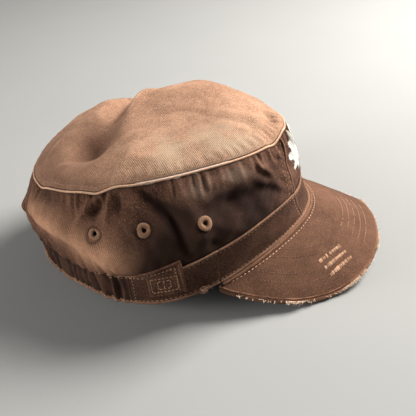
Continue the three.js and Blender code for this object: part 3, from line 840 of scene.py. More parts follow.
class CapSizes(bpy.types.PropertyGroup):
    """Sizes that a maker may change without touching the frame."""
    cloth: millimetres("Cloth", "Thickness of the twill", 1.1, 0.4, 2.0)
    stitch: millimetres("Stitch Length", "Length of a sewing stitch", 2.3, 1.0, 6.0)
    piping: millimetres("Piping Radius", "Radius of the roll along the peak's seam", 1.25, 0.5, 3.0)
    welt: millimetres("Seam Welt Radius", "Radius of the raised seam round the crown top", 0.85, 0.4, 2.5)
    floor_size: bpy.props.FloatProperty(
        name="Floor Size", description="Side of the studio floor", default=3.0, unit="LENGTH")


def cloth_material(colours, kind="body"):
    """The twill of one part of the cap."""
    dye, faded, deep = tuple(colours.dye), tuple(colours.faded), tuple(colours.deep)
    if kind == "top":
        return twill("crown_top_twill", tuple(colours.top_dye), tuple(colours.top_faded), dye, 0.6,
                     bleached=srgb(164, 150, 128))
    if kind == "peak":
        return twill("peak_twill", srgb(80, 55, 42), srgb(126, 91, 71), srgb(43, 28, 22), 0.5, 1.0, 0.2)
    if kind == "lining":
        return twill("lining_twill", deep, dye, darker(deep, 0.5), 0.3, 0.9, 0.12)
    if kind == "fold":
        return twill("folded_twill_edge", srgb(118, 87, 70), srgb(156, 120, 97), dye, 0.7, 0.9, 0.15)
    if kind == "seam":
        pale = tuple(colours.seam)
        palest = tuple(min(1, 1.35 * c) for c in pale[:3]) + (1,)
        return twill("rubbed_seam_edge", pale, palest, faded, 0.7, 0.9, 0.15)
    return twill("brown_twill", dye, faded, deep)


def sewing_thread(colours):
    """The tan sewing thread."""
    return thread("tan_sewing_thread", tuple(colours.thread), darker(colours.thread, 0.45))


# ---- pieces -------------------------------------------------------------------------------------------------

SIDES = (("right", -1), ("left", 1))
SEAM_GAP = 0.12                                        # degrees between a panel's edge and its seam line
EDGE_ROLL = 1.45                                       # radius of the peak cover's turn at its edge, in mm
# Lines of stitching on a side tab, as two (degree, level) ends: an outer and an inner box with a middle line,
# then the two hems.
TAB_STITCHING = (
    ((93.5, 0.88), (93.5, 0.42)), ((93.5, 0.42), (82.0, 0.42)), ((82.0, 0.42), (82.0, 0.86)),
    ((82.0, 0.86), (93.5, 0.88)), ((90.5, 0.78), (90.5, 0.52)), ((90.5, 0.52), (85.0, 0.52)),
    ((85.0, 0.52), (85.0, 0.77)), ((85.0, 0.77), (90.5, 0.78)), ((87.8, 0.77), (87.8, 0.53)),
    ((96.0, 1.02), (83.0, 1.07)), ((82.4, 1.08), (81.4, 0.34)),
)


def front_seam(level):
    """Angle of the front pieces' side seams at a level."""
    return np.interp(level, *FRONT_SEAM)


def front_span(level):
    """The edges of the front pieces at a level."""
    return SEAM_GAP - front_seam(level), front_seam(level) - SEAM_GAP


def fixed(first, last):
    """Edges of a strip that keep their angle at every level."""
    return lambda level: (first + 0 * level, last + 0 * level)


def edge_wear(level, low, high, width=0.03):
    """1 at a strip's lower and upper edges, falling off inward."""
    return np.exp(-(level - low) / width) + np.exp(-(high - level) / width)


def crown_wear(deg, level, share):
    """Rubbed along the seams and on the outermost folds of the crown wall."""
    raised = np.clip(wall_folds(deg, level) / 4.5, 0, 1)
    return 0.6 * edge_wear(level, 1.0, 2.0, 0.03) + 0.6 * edge_wear(share, 0, 1, 0.005) + 0.5 * raised


def crown_shade(deg, level, share):
    """Painted shade: dark beside the seams, in the grooves, low on the sides and round each eyelet."""
    sunk = np.clip(-wall_folds(deg, level) / 4, 0, 1)
    side = signed(deg)
    away = np.abs(side)
    patchy = 1 + 0.16 * ripple(side * MM_PER_DEG, level * WALL_RISE, 26, 14)
    # Painted shade low on the sides, heavier on the right, and a painted dark ring round each eyelet.
    side_shade = smooth(108, 84, away + 14 * (level - 1.5)) * smooth(24, 44, away)
    side_shade = side_shade * smooth(1.84, 1.60, level) * patchy
    side_shade = side_shade * np.where(side < 0, 1.0, 0.6)
    for at, height in EYELETS:
        apart = np.hypot((away - at) * MM_PER_DEG, 1.3 * (level - height) * WALL_RISE)
        side_shade = side_shade + 0.7 * bump(apart, 5.2, 1.1)
    return 0.55 * bump(level, 1.0, 0.04) + 0.7 * bump(level, 1.985, 0.02) + 0.9 * sunk + side_shade


def crown_painted_highlight(deg, level, share):
    """Painted light: paler along the longest ridges, low on the full back of the crown wall, where its bulge
    catches the light.
    """
    side = signed(deg)
    x, y = on_wall(side, level)
    total = 0
    for start, end, width, _ in FOLDS_RIGHT[:2] + FOLDS_LEFT[:2]:
        total = total + fold(x, y, on_wall(*start), on_wall(*end), width, np.where(side < 0, 1.0, 0.6))
    return total * (1 + 0.15 * ripple(x, y, 16, 15))


def crown_bleach(deg, level, share):
    """Greyish, sun-bleached high on the sides, towards the front."""
    side = np.abs(signed(deg))
    return 0.9 * bump(side, 58, 14) * bump(level, 1.84, 0.11)


def band_wear(deg, level, share):
    """Rubbed along both edges of the band and on its pleats."""
    return 0.65 * edge_wear(level, 0.0, 1.0, 0.04) + 0.16 * band_relief(deg, level) - 0.05


def band_shade(deg, level, share):
    """Painted shade: dark between the pleats of the gathered back and next to the band's seams, a little over
    the whole band, and more towards its back under the crown's full bulge.
    """
    side = np.abs(signed(deg))
    grooves = smooth(BAND_SEAM - 3, BAND_SEAM + 6, side) * smooth(1.4, 0.4, band_relief(deg, level))
    return 0.5 * grooves + 0.25 + 0.3 * smooth(86, 112, side)


def nothing(deg, level, share):
    """A mark that stays at nought."""
    return 0 * deg


class CAP_OT_crown_top(bpy.types.Operator):
    """Domed, slumped crown top with its raised seam"""
    bl_idname = "cap.crown_top"
    bl_label = "Crown Top"

    def execute(self, context):
        colours, sizes = context.scene.cap_colours, context.scene.cap_sizes
        columns, rows = 396, 118
        around = np.linspace(-180, 180, columns, endpoint=False)
        deg, share = np.meshgrid(around, np.linspace(0.015, 0.995, rows), indexing="ij")
        points = np.concatenate([dome(deg, share).reshape(-1, 3), dome(np.array([0.0]), np.array([0.0]))])
        marks = self.marks(points[:-1, 0], points[:-1, 1], share.ravel())
        marks = {key: np.append(value, 0) for key, value in marks.items()}
        piece = new_piece("crown_top_cloth", points, disc_faces(columns, rows, columns * rows),
                          cloth_material(colours, "top"), points[:, :2], marks)
        finish_piece(thicken(piece, sizes.cloth), "crown", "crown_twill", "crown_top")

        deg = np.linspace(-180, 180, 721)
        line = dome(deg, 0 * deg + 1) + (outward(deg) * 0.2 + np.array([0, 0, -0.1]))
        up = np.cross(along(line), outward(deg))
        up *= np.sign(up[:, 2:])
        seam = cloth_material(colours, "seam")
        welt = cord_on("crown_seam_welt", seam, line, up, sizes.welt, closed=True)
        finish_piece(welt, "crown", "crown_twill")
        deg = np.linspace(-180, 180, 720)
        share = 0 * deg + 0.972
        up = normals(dome, deg, share, 0.4, 0.01)
        row = dict(line=dome(deg, share), up=up * np.sign(up[:, 2:]), length=sizes.stitch, radius=0.16)
        finish_piece(stitches("crown_seam_stitches", sewing_thread(colours), [row]), "crown", "tan_thread")
        return {"FINISHED"}

    def marks(self, x, y, share):
        """Worn on its seam and creases, painted shade in its dents and over its right back, bleached at the
        right front.
        """
        lines = fold(x, y, (-84, -26), (-70, -5), 1.3, 0.9) + fold(x, y, (-14, 30), (-26, -2), 2.0, 0.8)
        lines = lines + fold(x, y, (-50, -1), (-36, 2), 1.0, 0.7)
        dents = ((-45, -13, 0.85, 0.75, 13, 0.7), (78, -6, 1, 1, 6, 0.9), (-46, -34, 0.8, 0.7, 13, 0.6),
                 (30, -16, 1, 1, 11, 0.5))
        # Painted shade over the right back of the top and in its dents.
        dip = 1.3 * smooth(-5, -60, x) * smooth(34, -14, y)
        for at_x, at_y, wide, tall, size, depth in dents:
            dip = dip + depth * bump(np.hypot((x - at_x) * wide, (y - at_y) * tall), 0, size)
        pale = bump(np.hypot((x - 14) * 0.8, y + 48), 0, 20) + bump(np.hypot((x - 52) * 0.8, y + 38), 0, 17)
        return {"wear": 0.4 * np.exp(-(1 - share) / 0.02) + lines, "grime": 0.4 * dip, "bleach": 0.8 * pale}


def eyelet_seat(sign, index):
    """Middle and outward direction of one eyelet on the wall."""
    deg, level = EYELETS[index]
    deg, level = np.array([sign * deg]), np.array([level])
    return wall(deg, level)[0], normals(wall, deg, level, 2.0, 0.04)[0]


class CAP_OT_crown_walls(bpy.types.Operator):
    """Front panel and two full side panels of the crown, with their topstitching"""
    bl_idname = "cap.crown_walls"
    bl_label = "Crown Walls"

    def execute(self, context):
        colours, sizes = context.scene.cap_colours, context.scene.cap_sizes
        cloth = cloth_material(colours)
        marks = {"wear": crown_wear, "grime": crown_shade, "bleach": crown_bleach, "sun": crown_painted_highlight}
        front = strip("front_panel_cloth", cloth, front_span, *PANEL_LEVELS, 0.0, sizes.cloth, 90, 60, marks)
        finish_piece(front, "crown", "crown_twill", "front_panel")
        rows = []
        spans = {"right": lambda l: (SEAM_GAP - 180 + 0 * l, -front_seam(l) - SEAM_GAP),
                 "left": lambda l: (front_seam(l) + SEAM_GAP, 180 - SEAM_GAP + 0 * l)}
        for name, sign in SIDES:
            holes = [(eyelet_seat(sign, k)[0], 3.1) for k in range(3)]
            side = strip(f"side_panel_{name}_cloth", cloth, spans[name], *PANEL_LEVELS, 0.0, sizes.cloth,
                         460, 104, marks, holes=holes)
            finish_piece(side, "crown", "crown_twill", f"side_panel_{name}")
            level = np.linspace(1.03, 1.96, 60)
            seam = front_seam(level)
            for deg in (sign * (seam + 1.5), sign * (seam + 4.6), 0 * level + sign * 178.6):
                rows.append(wall_line(deg, level, length=sizes.stitch))
            level = np.linspace(1.0, 1.985, 70)
            deg = sign * front_seam(level)
            up = wall_normals(deg, level)
            edge = cord_on(f"front_seam_edge_{name}", cloth_material(colours, "fold"),
                           wall(deg, level) + up * 0.1, up, 0.75, 0.9)
            finish_piece(edge, "crown", "crown_twill")
        finish_piece(stitches("crown_wall_stitches", sewing_thread(colours), rows), "crown", "tan_thread")
        return {"FINISHED"}


class CAP_OT_eyelets(bpy.types.Operator):
    """Thread-bound vent eyelets, three on each side"""
    bl_idname = "cap.eyelets"
    bl_label = "Eyelets"

    def execute(self, context):
        shadow = darker(context.scene.cap_colours.thread, 0.4)
        material = thread("eyelet_thread", srgb(126, 90, 67), shadow, 4000.0)
        around, across = 144, 12
        a, b = np.meshgrid(np.linspace(0, 2 * pi, around + 1)[:-1], np.linspace(0, 2 * pi, across + 1)[:-1],
                           indexing="ij")
        wrap = 1 + 0.10 * np.cos(36 * a + 0.5 * np.sin(5 * a))
        height = 0.1 + 0.8 * np.sin(b) * wrap
        faces = grid_faces(around + 1, across, True) % (around * across)
        for name, sign in SIDES:
            for k in range(3):
                middle, out = eyelet_seat(sign, k)
                side = unit(np.cross((0, 0, 1), out))
                tall = np.cross(out, side)
                r = EYELET_RADIUS + EYELET_CORD * np.cos(b) * wrap + 0.12 * np.sin(3 * a + k)
                points = (middle + side * (r * np.cos(a))[..., None] + tall * (r * np.sin(a))[..., None]
                          + out * height[..., None])
                ring_piece = new_piece(f"eyelet_{name}_{k + 1}_thread", points, faces, material,
                                       np.stack([a * 3.45, b * 1.5], -1))
                finish_piece(ring_piece, "crown", "tan_thread", f"eyelet_{name}_{k + 1}")
        return {"FINISHED"}


class CAP_OT_band(bpy.types.Operator):
    """Band: front and side pieces, gathered back, and the topstitching along it"""
    bl_idname = "cap.band"
    bl_label = "Band"

    def execute(self, context):
        colours, sizes = context.scene.cap_colours, context.scene.cap_sizes
        cloth = cloth_material(colours)

        def part(name, span, columns, rows=30):
            """One piece of the band between its two edges."""
            marks = {"wear": band_wear, "grime": band_shade}
            return strip(name, cloth, span, *BAND_LEVELS, 0.0, sizes.cloth, columns, rows, marks)

        blend_piece(part("band_front_cloth", front_span, 90), "band_twill", "band_front")
        spans = {("right", "front"): lambda l: (-PEAK_END + 0 * l, -(front_seam(l) + SEAM_GAP)),
                 ("left", "front"): lambda l: (front_seam(l) + SEAM_GAP, PEAK_END + 0 * l),
                 ("right", "rear"): fixed(SEAM_GAP - BAND_SEAM, -PEAK_END),
                 ("left", "rear"): fixed(PEAK_END, BAND_SEAM - SEAM_GAP)}
        for name, _ in SIDES:
            front = part(f"band_side_{name}_front", spans[name, "front"], 80)
            blend_piece(front, "band_twill", f"band_side_{name}")
            rear = part(f"band_side_{name}_rear", spans[name, "rear"], 80)
            finish_piece(rear, "crown", "band_twill", f"band_side_{name}")
        back = part("band_back_gathered", fixed(BAND_SEAM + SEAM_GAP, 360 - BAND_SEAM - SEAM_GAP), 700, 34)
        finish_piece(back, "crown", "band_twill", "band_back")
        self.topstitching(sewing_thread(colours), sizes.stitch)
        self.folds(cloth_material(colours, "fold"))
        self.worn_hem()
        return {"FINISHED"}

    def topstitching(self, tan, length):
        """Rows along both edges of the band, beside the front seams and at the gathered back's two ends."""
        front_rows, back_rows = [], []
        for level in (0.90, 0.10):
            front_rows.append(wall_row((-PEAK_END, PEAK_END), level, length=length))
            for span in ((PEAK_END, BAND_SEAM), (-BAND_SEAM, -PEAK_END), (BAND_SEAM, 360 - BAND_SEAM)):
                back_rows.append(wall_row(span, level, length=length))
        up = np.linspace(0.04, 0.96, 30)
        for _, sign in SIDES:
            for shift in (-1.3, 1.3):
                front_rows.append(wall_line(sign * (front_seam(up) + shift), up, length=length))
            back_rows.append(wall_line(0 * up + sign * (BAND_SEAM - 1.5), up, length=length))
        blend_piece(stitches("band_front_stitches", tan, front_rows), "tan_thread")
        finish_piece(stitches("band_back_stitches", tan, back_rows), "crown", "tan_thread")

    def folds(self, cloth):
        """The rolled folds along the band's top and its hem."""
        spans = (("front", -PEAK_END, PEAK_END, 260), ("back", PEAK_END, 360 - PEAK_END, 480))
        for where, first, last, count in spans:
            deg = np.linspace(first, last, count)
            for edge, level, radius, push in (("top", 0.985, 0.85, 0.25), ("hem", 0.035, 0.95, 0.1)):
                line = wall(deg, 0 * deg + level) + outward(deg) * push
                piece = cord_on(f"band_{edge}_fold_{where}", cloth, line, upright(line), radius, 1.1)
                if where == "front":
                    blend_piece(piece, "band_twill")
                else:
                    finish_piece(piece, "crown", "band_twill")

    def worn_hem(self):
        """A tuft of torn threads at the hem, beside the right end of the peak."""
        pale = thread("torn_hem_fibre", srgb(206, 160, 134), srgb(150, 108, 86), 3000.0)
        rng = np.random.default_rng(33)
        count = 60
        deg = rng.normal(-71.5, 0.9, count)
        level = rng.uniform(0.0, 0.16, count)
        root = wall(deg, level) + outward(deg) * 0.6
        part = np.linspace(0, 1, 6)[None, :, None]
        lean = rng.normal(0, 1.0, (count, 1, 3)) * np.array([1, 1, 0.6]) + outward(deg)[:, None] * 0.9
        droop = np.array([0, 0, -1.0]) * rng.uniform(0.2, 1.2, (count, 1, 1))
        centre = root[:, None] + (lean * part + droop * part ** 2) * rng.uniform(0.6, 1.4, (count, 1, 1))
        centre[..., 2] = np.maximum(centre[..., 2], 0.15)
        across = unit(np.cross(along(centre), outward(deg)[:, None]))
        up = np.cross(across, along(centre))
        tuft = tubes("hem_torn_threads", pale, centre, across, up, np.full((1, 6), 0.15), sides=4)
        finish_piece(tuft, "crown", "tan_thread")


class CAP_OT_side_tabs(bpy.types.Operator):
    """Stitched tabs over the band line, with a thick folded hem at the top and the front"""
    bl_idname = "cap.side_tabs"
    bl_label = "Side Tabs"

    def execute(self, context):
        colours = context.scene.cap_colours
        cloth = cloth_material(colours)
        first, last, low, high = 80.0, 95.0, 0.30, 1.13

        def rubbed(deg, level, share):
            """Wear along the four edges of a tab."""
            return 0.8 * edge_wear(level, low, high, 0.025) + 0.8 * edge_wear(share, 0, 1, 0.03)

        marks = {"wear": rubbed, "grime": nothing}
        hems = (
            (np.linspace(last + 3.0, first - 0.4, 40), np.linspace(high - 0.05, high + 0.02, 40), "top"),
            (np.linspace(first + 0.2, first - 0.8, 60), np.linspace(high, low - 0.04, 60), "front"),
        )
        for name, sign in SIDES:
            edges = sorted((sign * first, sign * last))
            patch = strip(f"side_tab_{name}_cloth", cloth, fixed(*edges), low, high, -1.5, 0.9, 70, 80, marks,
                          face=bridge_layer)
            finish_piece(patch, "crown", "band_twill", f"side_tab_{name}")
            for deg, level, where in hems:
                line = bridge_layer(sign * deg, level, -1.6)
                hem_roll = cord_on(f"side_tab_{name}_{where}_hem", cloth, line, outward(sign * deg), 1.25, 0.62,
                                   12, {"wear": 0.3, "grime": 0.0})
                finish_piece(hem_roll, "crown", "band_twill")
            rows = []
            for (d0, l0), (d1, l1) in TAB_STITCHING:
                deg, level = sign * np.linspace(d0, d1, 24), np.linspace(l0, l1, 24)
                line = bridge_layer(deg, level, -1.55)
                rows.append(dict(line=line, up=outward(deg), length=2.0, gap=0.5, radius=0.32))
            sewn = stitches(f"side_tab_{name}_stitches", sewing_thread(colours), rows)
            finish_piece(sewn, "crown", "tan_thread")
        return {"FINISHED"}


def bridge_layer(deg, level, depth):
    """The wall with its band-line corner and small folds smoothed away, moved inward by a depth: a mean over
    nearby levels, at the height of the plain wall."""
    deg, level = np.broadcast_arrays(np.asarray(deg, float), np.asarray(level, float))
    spread = np.linspace(-0.12, 0.12, 7)
    total = sum(wall(deg, np.clip(level + d, 0, 2)) for d in spread) / len(spread)
    total[..., 2] = flat_band_layer(deg, level, 0)[..., 2]
    return total - outward(deg) * depth


class CAP_OT_emblem(bpy.types.Operator):
    """Plain worn embroidery on the front: a ragged ten-rayed sunburst in raised white satin stitch"""
    bl_idname = "cap.emblem"
    bl_label = "Front Emblem"

    def execute(self, context):
        white = context.scene.cap_colours.emblem
        satin = thread("white_emblem_thread", tuple(white), darker(white, 0.55), 5200.0)
        columns, rows = 720, 30
        turn, reach = np.meshgrid(np.linspace(0, 2 * pi, columns, endpoint=False), np.linspace(0, 1, rows),
                                  indexing="ij")
        ray = 0.5 + 0.5 * np.cos(10 * turn + 0.35 * np.sin(3 * turn))
        outline = 16.5 + 7.5 * ray ** 1.2 * (1 + 0.16 * np.sin(7 * turn + 1))
        frayed = 0.5 * np.sin(61 * turn) + 0.35 * np.sin(97 * turn + 1)
        r = (outline + frayed * reach) * reach
        wide, tall = 1.2, 0.66
        mm_per_deg, mm_per_level, middle_level = 1.65, 43, 1.57
        deg = r * np.cos(turn) * wide / mm_per_deg
        level = middle_level + r * np.sin(turn) * tall / mm_per_level
        loft = 0.35 + 1.1 * np.clip(1 - reach ** 6, 0, 1) * (0.6 + 0.4 * ray)
        loft = loft + 0.22 * np.sin(turn * 150) * reach
        points = wall(deg, level) + wall_normals(deg, level) * loft[..., None]
        piece = new_piece("front_emblem_sunburst", points, disc_faces(columns, rows, 0, 1), satin,
                          np.stack([turn * 14, r], -1))
        finish_piece(thicken(drop_loose(piece), 0.5), "crown", "white_thread", "front_emblem")
        return {"FINISHED"}


def drop_loose(piece):
    """Removes points that no face uses."""
    shape = bmesh.new()
    shape.from_mesh(piece.data)
    bmesh.ops.delete(shape, geom=[v for v in shape.verts if not v.link_faces], context="VERTS")
    shape.to_mesh(piece.data)
    shape.free()
    return piece


class CAP_OT_peak(bpy.types.Operator):
    """Peak: cover turned over its edge, lining, piping, rows of stitching, bars and frays"""
    bl_idname = "cap.peak"
    bl_label = "Peak"

    def execute(self, context):
        colours, sizes = context.scene.cap_colours, context.scene.cap_sizes
        cloth = cloth_material(colours, "peak")
        pale = thread("bar_thread", srgb(228, 188, 156), srgb(176, 134, 106), 3000.0)
        columns = 340
        share = 0.5 + 0.498 * np.sin(np.linspace(-1, 1, columns) * pi / 2)
        self.cover(cloth, share)
        s, r = np.meshgrid(share, np.linspace(0, 0.985, 60), indexing="ij")
        points = peak_face(s, r, -2.3, EDGE_ROLL * 0.9)
        # Painted shade over the whole underside of the peak.
        marks = {"wear": 0.5 * np.exp(-(1 - r) / 0.03), "grime": 0.2 + 0 * r}
        faces = grid_faces(columns, 60)
        lining = new_piece("peak_lining_cloth", points, faces, cloth, points[..., :2], marks)
        finish_piece(thicken(lining, 0.5), "peak", "peak_twill", "peak_lining")

        s = np.linspace(0.004, 0.996, 320)
        line = peak_inner(s, 0 * s + 1.55)
        line[:, 2] = peak_height(line[:, 0], line[:, 1]) + 0.75
        piping = cord_on("peak_seam_piping", cloth, line, upright(line), sizes.piping, 0.95, 12,
                         {"wear": 0.75, "grime": 0.0})
        finish_piece(piping, "peak", "peak_twill", "peak_piping")
        self.topstitching(colours, sizes, pale)
        self.bars(pale)
        self.frays()
        return {"FINISHED"}

    def cover(self, cloth, share):
        """The top cover, which turns down round the peak's edge in a half circle."""
        flat, turn = 90, np.linspace(0, pi, 9)
        reach = np.concatenate([np.linspace(0, 0.985, flat), np.full(9, 1.0)])
        height = np.concatenate([np.full(flat, 0.5), 0.5 - EDGE_ROLL * (1 - np.cos(turn))])
        inset = np.concatenate([np.full(flat, EDGE_ROLL * 0.6), EDGE_ROLL - EDGE_ROLL * np.sin(turn)])
        s, r = np.meshgrid(share, reach, indexing="ij")
        points = peak_face(s, r, height[None], inset[None])
        uneven = 0.5 + 0.5 * ripple(s * 300, 0 * s, 34, 41)
        wear = np.exp(-(1 - r) / 0.012) * (0.55 + 0.4 * uneven + 0.9 * fray_places(s))
        wear = wear + 0.5 * np.exp(-r / 0.02)
        wear = wear + 0.18 * bump(ripple(points[..., 0], points[..., 1], 30, 12), 1, 0.7)
        # Painted shade on the cover along its seam with the band.
        marks = {"wear": wear, "grime": 0.45 * np.exp(-r / 0.05)}
        faces = grid_faces(len(share), len(reach))[:, ::-1]
        cover = new_piece("peak_cover_cloth", points, faces, cloth, points[..., :2], marks)
        finish_piece(thicken(cover, 0.7), "peak", "peak_twill", "peak_cover")

    def topstitching(self, colours, sizes, pale):
        """Five rows that follow the outer edge, bright in front and dull at its sides, and one by the seam."""
        brown = thread("brown_sewing_thread", tuple(colours.faded), tuple(colours.dye), 9000.0)
        rows, dull = [], []
        parts = ((0.06, 0.38, dull, 0.2), (0.38, 0.60, rows, 0.12), (0.60, 0.94, dull, 0.2))
        first_inset, row_gap = 9.5, 4.4
        for step in range(5):
            for low, high, into, skip in parts:
                part = np.linspace(low, high, 160)
                path = peak_face(part, 0 * part + 1, 0.5, first_inset + row_gap * step)
                into.append(dict(line=path, up=surface_up(path), length=1.4, gap=1.2, radius=0.28, sink=0.45,
                                 skip=skip, seed=50 + step))
        finish_piece(stitches("peak_worn_stitches", brown, dull), "peak", "tan_thread")
        path = peak_face(np.linspace(0.03, 0.97, 220), np.full(220, 0.045), 0.5, 0)
        rows.append(dict(line=path, up=surface_up(path), length=sizes.stitch))
        finish_piece(stitches("peak_stitches", pale, rows), "peak", "tan_thread")

    def bars(self, pale):
        """Three worn bars of satin stitch. Each is a row of cross threads, some of them worn away."""
        turn = np.radians(44.5)
        run = np.array([np.cos(turn), np.sin(turn)])
        side = np.array([-run[1], run[0]])
        second, to_next = np.array([121.9, -49.4]), np.array([3.9, -2.8])
        half_length, spacing = 11.2, 0.52
        for row in range(3):
            middle = second + (row - 1) * to_next
            rng = np.random.default_rng(70 + row)
            s = np.arange(-half_length, half_length, spacing)
            s = s[rng.uniform(size=len(s)) > 0.22]
            half = 1.15 * rng.uniform(0.5, 1.15, len(s))
            part = np.array([-1, -0.8, 0, 0.8, 1.0])
            xy = middle + s[:, None, None] * run + (half[:, None] * part)[..., None] * side
            z = peak_height(xy[..., 0], xy[..., 1]) + 0.52 + np.array([-0.25, 0.2, 0.34, 0.2, -0.25])
            centre = np.concatenate([xy, z[..., None]], -1)
            centre += 0.28 * ripple(xy[..., 0], xy[..., 1], 42, 31)[..., None] * np.array([0, 0, 1.0])
            across = np.broadcast_to(np.append(run, 0), centre.shape)
            bar = tubes(f"peak_bar_{row + 1}_threads", pale, centre, across, upright(centre), 0.29, sides=6)
            finish_piece(bar, "peak", "tan_thread", f"peak_bar_{row + 1}")

    def frays(self):
        """Short loose fibres along the worn places of the peak's edge, each bent in its own direction."""
        pale = thread("frayed_fibre", srgb(246, 228, 206), srgb(206, 172, 146), 3000.0)
        rng = np.random.default_rng(90)
        s = rng.uniform(0.02, 0.98, 5200)
        s = s[rng.uniform(size=len(s)) < 0.03 + 0.97 * fray_places(s)]
        out = unit((peak_outer(s, 0.0) - peak_outer(s, 6.0)) * (1, 1, 0))
        side = np.stack([-out[:, 1], out[:, 0], 0 * s], -1)
        root = peak_face(s, 1.0 + 0 * s, 0.3, 0.5)
        root[:, 2] -= rng.uniform(-0.3, 1.6, len(s))
        length = rng.uniform(0.6, 2.1, len(s))
        lean = rng.normal(0, 0.7, len(s))
        rise = rng.normal(0.1, 0.5, len(s))
        part = np.linspace(0, 1, 5)
        reach = (length[:, None] * part)[..., None]
        curl = (length[:, None] * part ** 2)[..., None]
        bend = side * lean[:, None] + np.array([0, 0, 1.0]) * rise[:, None]
        centre = root[:, None] + reach * out[:, None] + curl * bend[:, None]
        across = np.broadcast_to(-side[:, None], centre.shape)
        size = 0.22 * np.array([1, 1, 0.9, 0.8, 0.5])
        tuft = tubes("peak_edge_frays", pale, centre, across, upright(centre), size[None], sides=4)
        finish_piece(tuft, "peak", "tan_thread")


def fray_places(share):
    """1 where the peak's edge is worn through, near its right front and at a few places more."""
    spots = ((0.115, 0.012), (0.262, 0.024), (0.30, 0.006), (0.425, 0.018), (0.395, 0.005), (0.62, 0.012),
             (0.80, 0.014), (0.9, 0.006))
    return np.clip(sum(bump(np.asarray(share, float), at, width) for at, width in spots), 0, 1)


def surface_up(path):
    """Upward normals of the peak's cylinder at points on it."""
    return unit(np.stack([0 * path[:, 0] - PEAK_SLOPE, 2 * PEAK_ARCH * path[:, 1], 1 + 0 * path[:, 0]], -1))


def flat_band_layer(deg, level, depth):
    """A layer behind the band that keeps its smooth form, without the pleats."""
    deg, level = np.broadcast_arrays(np.asarray(deg, float), np.asarray(level, float))
    p = hem(deg) * (1 - level[..., None]) + band_line(deg) * level[..., None]
    return p - outward(deg) * depth


class CAP_OT_inside(bpy.types.Operator):
    """What the cap holds inside: sweatband, elastic, stiffener, seam tapes, care label and peak board"""
    bl_idname = "cap.inside"
    bl_label = "Inside"

    def execute(self, context):
        colours, sizes = context.scene.cap_colours, context.scene.cap_sizes
        lining = cloth_material(colours, "lining")
        sweat = twill("sweatband_cotton", srgb(132, 100, 82), srgb(168, 134, 112), srgb(84, 60, 50),
                      0.5, 0.8, 0.1)
        pale = twill("buckram_and_elastic", srgb(214, 208, 194), srgb(232, 228, 218), srgb(150, 143, 130),
                     0.4, 1.0, 0.2)
        ribbon = twill("label_ribbon", srgb(206, 202, 192), srgb(226, 222, 214), srgb(170, 165, 155),
                       0.3, 0.6, 0.05)
        plain = {"wear": nothing, "grime": nothing}
        rub = {"wear": lambda d, l, s: 0.7 * edge_wear(l, 0.07, 0.93, 0.04), "grime": nothing}
        deep = 3.1
        front = strip("sweatband_front", sweat, fixed(-PEAK_END, PEAK_END), 0.07, 0.93, deep, sizes.cloth,
                      120, 14, rub)
        blend_piece(front, "sweatband_cloth", "sweatband")

        def tape(number):
            """The edges of a tape over one front seam: number is -1 for the right one and 1 for the left."""
            return lambda l: (number * front_seam(l) - 2.6, number * front_seam(l) + 2.6)

        layers = (
            ("sweatband_rear", sweat, fixed(PEAK_END, 360 - PEAK_END), 0.07, 0.93, deep, sizes.cloth,
             260, 14, rub, flat_band_layer, "sweatband_cloth", "sweatband"),
            ("back_elastic_knit", pale, fixed(BAND_SEAM + 3, 357 - BAND_SEAM), 0.2, 0.8, 1.4, 0.7,
             200, 12, plain, flat_band_layer, "stiffener", "back_elastic"),
            ("care_label_blank", ribbon, fixed(172, 188), 0.3, 0.75, deep + 1.7, 0.4,
             30, 16, plain, flat_band_layer, "label_cloth", "care_label"),
            ("front_stiffener_buckram", pale, lambda l: (-0.84 * front_seam(l), 0.84 * front_seam(l)),
             1.06, 1.8, 1.6, 0.7, 60, 24, plain, wall_layer, "stiffener", "front_stiffener"),
            ("tip_seam_tape_ring", lining, fixed(-179.9, 179.9), 1.83, 1.93, 1.5, 0.6,
             400, 6, plain, wall_layer, "lining_tape", "tip_seam_tape"),
            ("back_seam_tape_strip", lining, fixed(177.4, 182.6), 1.05, 1.81, 1.5, 0.6,
             8, 40, plain, wall_layer, "lining_tape", "back_seam_tape"),
            ("front_seam_tape_right_strip", lining, tape(-1), 1.05, 1.81, 2.7, 0.6,
             8, 40, plain, wall_layer, "lining_tape", "front_seam_tape_right"),
            ("front_seam_tape_left_strip", lining, tape(1), 1.05, 1.81, 2.7, 0.6,
             8, 40, plain, wall_layer, "lining_tape", "front_seam_tape_left"),
        )
        for *cut, face, slot, node in layers:
            finish_piece(strip(*cut, face=face), "crown", slot, node)
        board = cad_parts["peak_board"]
        board.data.materials.clear()
        board.data.materials.append(moulded("peak_board_sheet", srgb(226, 225, 220), srgb(190, 186, 176)))
        return {"FINISHED"}


